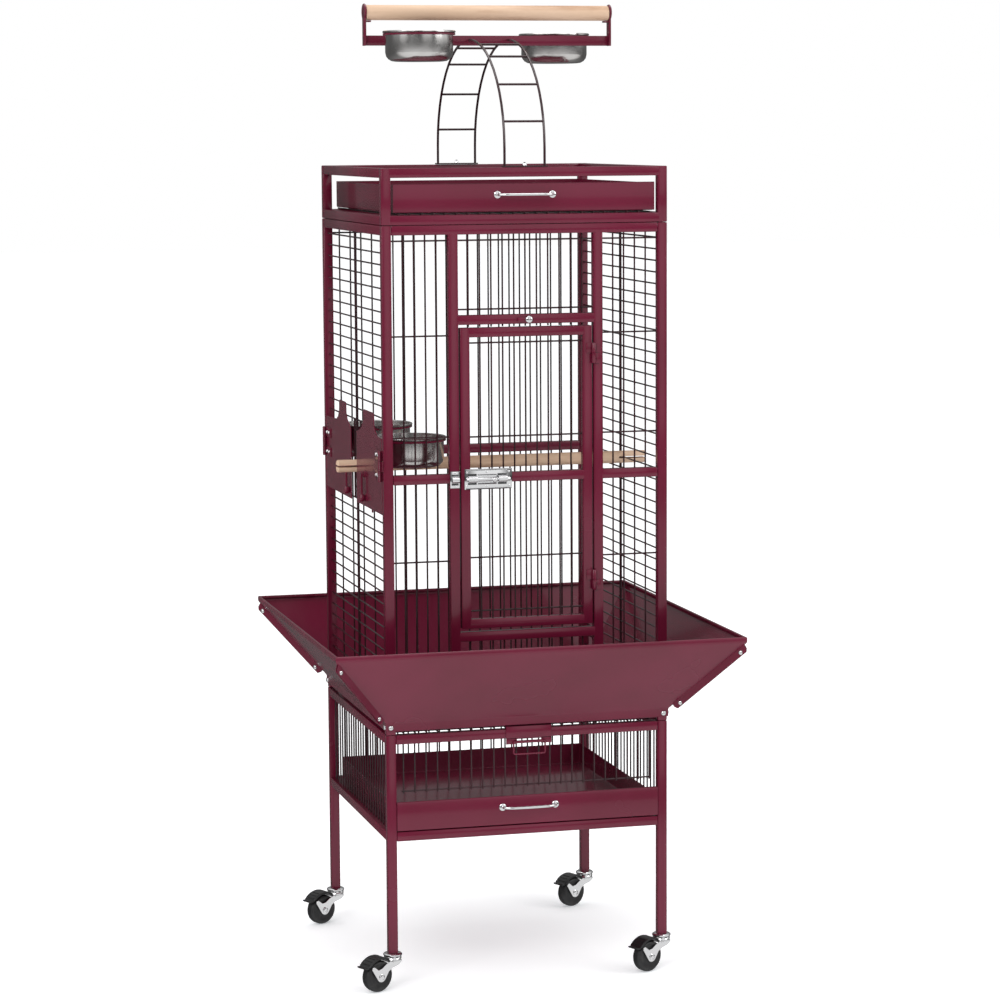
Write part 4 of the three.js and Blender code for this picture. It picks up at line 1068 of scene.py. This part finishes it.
HINGE_LINE_X = -HALF - 3.5
for name, f in FEEDERS.items():
    s = f["side"]
    sheet = plate([(-HALF, s * y, z) for y, z in crown_outline(f)], (PLATE_THICK, 0, 0), corner=0.4)
    lug = bars([box_of((-HALF + 1, -HALF + 10), (s * (f["cup"] - 12), s * (f["cup"] + 12)),
                       (FEEDER_RIM - 9, FEEDER_RIM - 4.4))], corner=0.6)
    boss = turned([(5.5, 0), (5.5, 1.6), (4.9, 2.2), (2.6, 2.2)], (-HALF, s * f["latch"], LATCH_Z),
                  (-1, 0, 0), 18)
    parts = [sheet, cup_ring(FEEDER_CUP_X, s * f["cup"], FEEDER_RIM - 4), lug, boss]
    for z0, z1 in ((800, 816), (832, 848)):
        parts.append(curl(HINGE_LINE_X, s * INNER, z0, z1))
        parts.append(bars([box_of((-HALF - 1.6, -HALF + 0.5), (s * (INNER - 40), s * INNER),
                                  (z0, z1))], corner=0.5))
    finish(join(parts), f"feeder_door_{name}_plate", f"feeder_door_{name}", "frame_paint",
           [f"feeder_door_{name}"],
           smooth=30)
    screws = [dome((-HALF - 1.6, s * (INNER - reach), z), (-1, 0, 0), 2.6)
              for reach in (16, 31) for z in (808, 840)]
    finish(join(screws), f"feeder_screws_{name}", f"feeder_door_{name}", "chrome")

    pin_parts = [curl(HINGE_LINE_X, s * INNER, 816.3, 831.7),
                 bars([box_of((-HALF - 1.6, -HALF - 0.3), (s * INNER, s * (HALF - 1)), (816.3, 831.7))],
                      corner=0.5)]
    finish(join(pin_parts), f"feeder_hinge_{name}_knuckle", "frame", "frame_paint",
           [f"feeder_hinge_{name}"])

# %% Feeder latches
LATCH_OUT, LATCH_IN = -HALF - 4.5, -PLANE + 5.2
for name, f in FEEDERS.items():
    y, z = f["side"] * f["latch"], LATCH_Z
    reach = abs(f["latch"] - f["rod"]) + 6
    collar = turned([(4.5, 0), (4.5, 2.8), (3.9, 3.4), (2.2, 3.4)], (LATCH_OUT - 1.7, y, z), (1, 0, 0), 18)
    shaft = wire((LATCH_OUT, y, z), (LATCH_IN, y, z), 2.1, 14)
    lever = bent([(LATCH_OUT, y, z + 3.5), (LATCH_OUT, y, z - 38)], 1.6)
    tongue = bent([(LATCH_IN, y, z + 3), (LATCH_IN, y, z - reach)], 1.5)
    knob = turned([(2, -4.5), (4.8, -4), (6, -2.4), (6, 2.4), (4.8, 4), (2, 4.5), (0.4, 4.5)],
                  (LATCH_OUT, y, z - 38), (-1, 0, 0), 20)
    finish(join([collar, shaft, lever, tongue, knob]), f"feeder_latch_{name}_wire", f"feeder_latch_{name}",
           "frame_paint", [f"feeder_latch_{name}"])


# %% [markdown]
# ## Cups
# A cup is spun from one stainless disc: a flat base, a tight round into a straight wall, and a rim
# rolled outwards that hangs on the ring. The profile runs up the outside, over the rim and down the
# inside, so the wall has its real thickness and both bases close flat.
# %% Stainless cups
def cup(x, y, top):
    r, rim, d = CUP["r"], CUP["rim"], CUP["deep"]
    profile = [
        (2, -d), (r - 15.5, -d), (r - 10, -d + 0.8), (r - 5, -d + 3.6), (r - 1.5, -d + 8), (r, -d + 14),
        (r, -4.2),
        (r + 0.8, -3.5), (rim - 1, -3.5), (rim, -2.7), (rim, -1.0), (rim - 1.2, 0), (r + 0.2, -0.1),
        (r - 0.7, -0.7),
        (r - 0.9, -2), (r - 0.9, -d + 14), (r - 2.5, -d + 8.6), (r - 5.7, -d + 4.6), (r - 10.3, -d + 1.9),
        (r - 15.5, -d + 0.9), (2, -d + 0.9)]
    return turned(profile, (x, y, top), (0, 0, 1), 48)


for name, f in FEEDERS.items():
    finish(cup(FEEDER_CUP_X, f["side"] * f["cup"], FEEDER_RIM), f"feeder_cup_{name}_spun",
           f"feeder_cup_{name}",
           "steel", [f"feeder_cup_{name}"])
PLAY_CUP_X, PLAY_CUP_Y, PLAY_RIM = 130, 71.5, 1494.4
for side, name in ((-1, "left"), (1, "right")):
    finish(cup(side * PLAY_CUP_X, side * PLAY_CUP_Y, PLAY_RIM), f"play_cup_{name}_spun",
           f"play_cup_{name}", "steel",
           [f"play_cup_{name}"])

# %% [markdown]
# ## Perches
# The perches are plain hardwood dowels with broken edges. The inner one passes out through both side
# walls and sits on a level wire, which enters a saw cut in each end. The cut is taken out with a
# Boolean, as the saw does it.
# %% Inner perch
PERCH_Y, PERCH_R, PERCH_HALF = -14, 10, 258
inner = turned(
    [(PERCH_R - 1.2, -PERCH_HALF), (PERCH_R, -PERCH_HALF + 1.4), (PERCH_R, PERCH_HALF - 1.4),
     (PERCH_R - 1.2, PERCH_HALF)], (0, PERCH_Y, PERCH_Z), (1, 0, 0), 32)
for s in (-1, 1):
    kerf = cuboid(*box_of((s * (PERCH_HALF + 2), s * (INNER - 2)), (PERCH_Y - 14, PERCH_Y + 14),
                          (PERCH_Z - 1.65, PERCH_Z + 1.65)))
    modify(inner, "BOOLEAN", object=kerf, operation="DIFFERENCE", solver="EXACT")
    bpy.data.objects.remove(kerf)
finish(inner, "inner_perch_dowel", "frame", "wood", ["inner_perch"])

# %% Play perch and its bracket
PLAY_Z, PLAY_R = 1525, 12
STRAP_X, STRAP = 204, 3.5
BAR_LOW, BAR_HIGH = 1473, 1489
play_half = STRAP_X - STRAP - 0.4
dowel = turned([(PLAY_R - 1, -play_half), (PLAY_R, -play_half + 1.2), (PLAY_R, play_half - 1.2),
                (PLAY_R - 1, play_half)], (0, 0, PLAY_Z), (1, 0, 0), 36)
finish(dowel, "play_perch_dowel", "frame", "wood", ["play_perch"])

straps = [box_of((-STRAP_X + 1, STRAP_X - 1), (-1.5, 1.5), (BAR_LOW, BAR_HIGH))]
for s in (-1, 1):
    straps.append(box_of((s * (STRAP_X - STRAP), s * STRAP_X), (-8, 8), (BAR_LOW - 0.2, PLAY_Z + 8)))
    straps.append(box_of((s * (STRAP_X - 12), s * (STRAP_X - 1)), (-5, 5),
                         (PLAY_Z - PLAY_R - 3, PLAY_Z - PLAY_R - 0.4)))
    straps.append(box_of(
        (s * (PLAY_CUP_X - 12), s * (PLAY_CUP_X + 12)), (s * 0.5, s * (PLAY_CUP_Y - CUP["rim"] + 2.5)),
        (PLAY_RIM - 10, PLAY_RIM - 5.4)))
bracket = [bars(straps, corner=0.8)]
for s in (-1, 1):
    bracket.append(turned(
        [(2, 0), (PLAY_R + 0.2, 0), (PLAY_R + 1, 0.8), (PLAY_R + 1, STRAP - 0.8), (PLAY_R + 0.2, STRAP),
         (2, STRAP)],
        (s * (STRAP_X - STRAP), 0, PLAY_Z + 1), (s, 0, 0), 32))
    bracket.append(cup_ring(s * PLAY_CUP_X, s * PLAY_CUP_Y, PLAY_RIM - 4))
finish(join(bracket), "perch_bracket_welded", "frame", "frame_paint", ["perch_bracket"])


# %% [markdown]
# ## Ladders
# Two thin ladders rise from the play top and lean together into a pointed arch under the bar. Each
# rail is one wire: straight at the foot, then a quarter of an ellipse. A rung is placed by its height,
# and its depth is read off the same ellipse. The foot is a small plate with a nut in the middle.
# %% Ladders
LADDER_X, LADDER_R = 32, 2
ARCH_START, ARCH_RISE = 1314, 168
BOX_TOP = 1282


def arch_y(side, reach, z):
    share = max(0, min(1, (z - ARCH_START) / ARCH_RISE))
    return side * (3.8 + (reach - 3.8) * math.cos(math.asin(share)))


def ladder(side, reach, rungs):
    parts = []
    for x in (-LADDER_X, LADDER_X):
        points = [(x, side * reach, BOX_TOP + 1.3), (x, side * reach, ARCH_START - 12)]
        for i in range(13):
            z = ARCH_START + ARCH_RISE * math.sin(i / 12 * math.pi / 2)
            points.append((x, arch_y(side, reach, z), z))
        parts.append(bent(points, LADDER_R, bend=5))
    for z in rungs:
        y = arch_y(side, reach, z)
        parts.append(wire((-LADDER_X, y, z), (LADDER_X, y, z), 1.8, 10))
    parts.append(bars([box_of((-36, 36), (side * (reach - 5), side * (reach + 6)),
                              (BOX_TOP + 0.3, BOX_TOP + 2.3))],
                      corner=0.5))
    return join(parts)


for side, name, reach, rungs in ((-1, "front", 222, (1352, 1409, 1453, 1473)),
                                 (1, "rear", 215, (1340, 1398, 1446, 1471))):
    # The ladders take the wires' darker garnet, which is painted shade.
    finish(ladder(side, reach, rungs), f"ladder_{name}_welded", "frame", "frame_paint", [f"ladder_{name}"],
           look=shaded_wire_paint)
    finish(nut((0, side * (reach + 0.5), BOX_TOP + 2.3), (0, 0, 1), 3.4), f"ladder_{name}_nut", "frame",
           "chrome")

# %% [markdown]
# ## The play-top box
# The box is an open tube frame that drops onto the cage. The wires of the cage's ceiling are
# welded across its lower rails, and the play tray slides in over them. Two small screws in each side
# hold the box to the cage, and the gap between the two frames stays open as a fine line.
# %% Play-top box
BOX_FOOT = round(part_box("top_box")[0].z / MM, 2)
frame_tubes = []
for z in (BOX_FOOT, BOX_TOP - TUBE):
    for s in (-1, 1):
        frame_tubes.append(rail_x(-INNER - ROOT, INNER + ROOT, s, z))
        frame_tubes.append(rail_y(s, -INNER - ROOT, INNER + ROOT, z))
for s in (-1, 1):
    for end in (-1, 1):
        frame_tubes.append(post(s, end, BOX_FOOT, BOX_TOP))
ceiling = row_of(wire((FIRST, -HALF + 2, BOX_FOOT + TUBE + 1.1), (FIRST, HALF - 2, BOX_FOOT + TUBE + 1.1)),
                 (PITCH, 0, 0), WIRES)
finish(bars(frame_tubes), "top_box_welded", "frame", "frame_paint", ["top_box"])
strung([ceiling], "top_box_ceiling_wires", "frame")

# %% [markdown]
# ## Casters
# A caster is drawn once at the origin with its wheel trailing along X, and then turned and copied to
# the four legs. The chrome fork has a round swivel race, a slanted neck and two cheeks that narrow
# down to the axle. The wheel is solid black with round shoulders, and the brake is a black hood that
# arches over it and ends in a foot tab.
# %% Caster parts
TRAIL, WHEEL_R, AXLE_Z = 31, 25, 25
CASTER_TURN = math.pi + 0.44
SWIVEL = PLANE


def arc_xz(radius, start, stop, steps, y=0):
    """Points round the axle, by angle in degrees from +X."""
    angles = [math.radians(start + (stop - start) * i / steps) for i in range(steps + 1)]
    return [(TRAIL + radius * math.cos(a), y, AXLE_Z + radius * math.sin(a)) for a in angles]


def caster_fork():
    race = turned([(3, 46.7), (12.5, 46.7), (13.6, 47.6), (14, 49), (13.4, 50.2), (14, 51),
                   (13.6, 52.3), (12, 52.7),
                   (3, 52.7)], sides=36)
    parts = [race, bars([box_of((-9, 13), (-12.2, 12.2), (44.4, 47.2))], corner=1)]
    cheek = [(-9, 0, 47), (-9, 0, 43.5), (-3, 0, 39.5), (9, 0, 36.5), (17, 0, 31.5), (24, 0, 20.5)]
    cheek += arc_xz(8.2, 215, 325, 6)
    cheek += [(49.6, 0, 39.5), (48.5, 0, 42.5), (45, 0, 43.5), (37, 0, 37), (30, 0, 38), (22, 0, 43.4),
              (14, 0, 47)]
    for y, run in ((10.6, 1.6), (-12.2, 1.6)):
        parts.append(plate([(px, y, pz) for px, _, pz in cheek], (0, run, 0), corner=0.4))
    parts.append(wire((TRAIL, -12.4, AXLE_Z), (TRAIL, 12.4, AXLE_Z), 2.6, 16))
    for s in (-1, 1):
        parts.append(turned([(5, 0), (5, 1), (4, 1.6), (2.8, 1.7), (2.6, 1.1), (0.5, 1.1)],
                            (TRAIL, s * 12.1, AXLE_Z), (0, s, 0), 20))
    return join(parts)


def caster_wheel():
    w = 9
    wheel = turned([
        (3.02, -w + 0.5), (6, -w + 0.3), (7, -w - 0.6), (9.5, -w - 0.7), (10.5, -w + 0.4), (17.5, -w + 0.6),
        (19.5, -w), (22.6, -w + 0.8), (24.3, -w + 2.6), (WHEEL_R, -w + 5), (WHEEL_R, w - 5),
        (24.3, w - 2.6),
        (22.6, w - 0.8), (19.5, w), (17.5, w - 0.6), (10.5, w - 0.4), (9.5, w + 0.7), (7, w + 0.6),
        (6, w - 0.3),
        (3.02, w - 0.5), (3.02, -w + 0.5)], (TRAIL, 0, AXLE_Z), (0, 1, 0), 48)
    return wheel


def caster_brake():
    hood = arc_xz(30.8, 122, 36, 16, -12) + [(TRAIL + 30.4, -12, AXLE_Z + 18.6),
                                             (TRAIL + 30, -12, AXLE_Z + 15.6)]
    hood += arc_xz(28.8, 34, 122, 16, -12)
    parts = [plate(hood, (0, 24, 0), corner=0.8)]
    for y in (-12.9, 11.7):
        skirt = arc_xz(31, 116, 36, 10, y) + arc_xz(28.2, 42, 108, 8, y)
        parts.append(plate(skirt, (0, 1.2, 0), corner=0.4))
    for degrees in (70, 58, 46):
        (x, _, z), = arc_xz(31, degrees, degrees, 1)[:1]
        parts.append(wire((x, -8, z), (x, 8, z), 0.8, 8))
    return join(parts)


# %% Casters on the legs
CORNERS = {"front_left": (-1, -1), "front_right": (1, -1), "rear_left": (-1, 1), "rear_right": (1, 1)}
masters = {"fork": (caster_fork(), "chrome"), "wheel": (caster_wheel(), "tyre"),
           "brake": (caster_brake(), "brake_plastic")}
BODY_OF = {"fork": "caster", "wheel": "wheel", "brake": "brake"}
races = []
for corner, (sx, sy) in CORNERS.items():
    for kind, (master, slot) in masters.items():
        piece = copy_of(master)
        piece.rotation_euler = (0, 0, CASTER_TURN)
        piece.location = (sx * SWIVEL * MM, sy * SWIVEL * MM, 0)
        settle(piece)
        finish(piece, f"caster_{kind}_{corner}_part", f"{BODY_OF[kind]}_{corner}", slot,
               [f"caster_{kind}_{corner}"])
    races.append(turned([(3, 53), (14, 53), (15, 54), (15, 55.4), (13.8, 56.6), (10.5, 57.2), (3, 57.2)],
                        (sx * SWIVEL, sy * SWIVEL, 0), (0, 0, 1), 36))
finish(join(races), "caster_races", "frame", "chrome")
for master, _ in masters.values():
    bpy.data.objects.remove(master)

# %% [markdown]
# ## Last check
# Every CAD node should now be hidden behind a piece that stands for it. Any that still shows gets its
# slot's finish, so nothing is left in the CAD's flat colour.
# %% Finish what still shows
for entry in frame["record"]["subparts"]:
    node = frame["nodes"][entry["node"]]
    if not node.hide_render:
        for material_slot in node.material_slots:
            material_slot.material = FINISHES[entry["material_slot"]]
        print("CAD node shown:", entry["node"])

deselect()
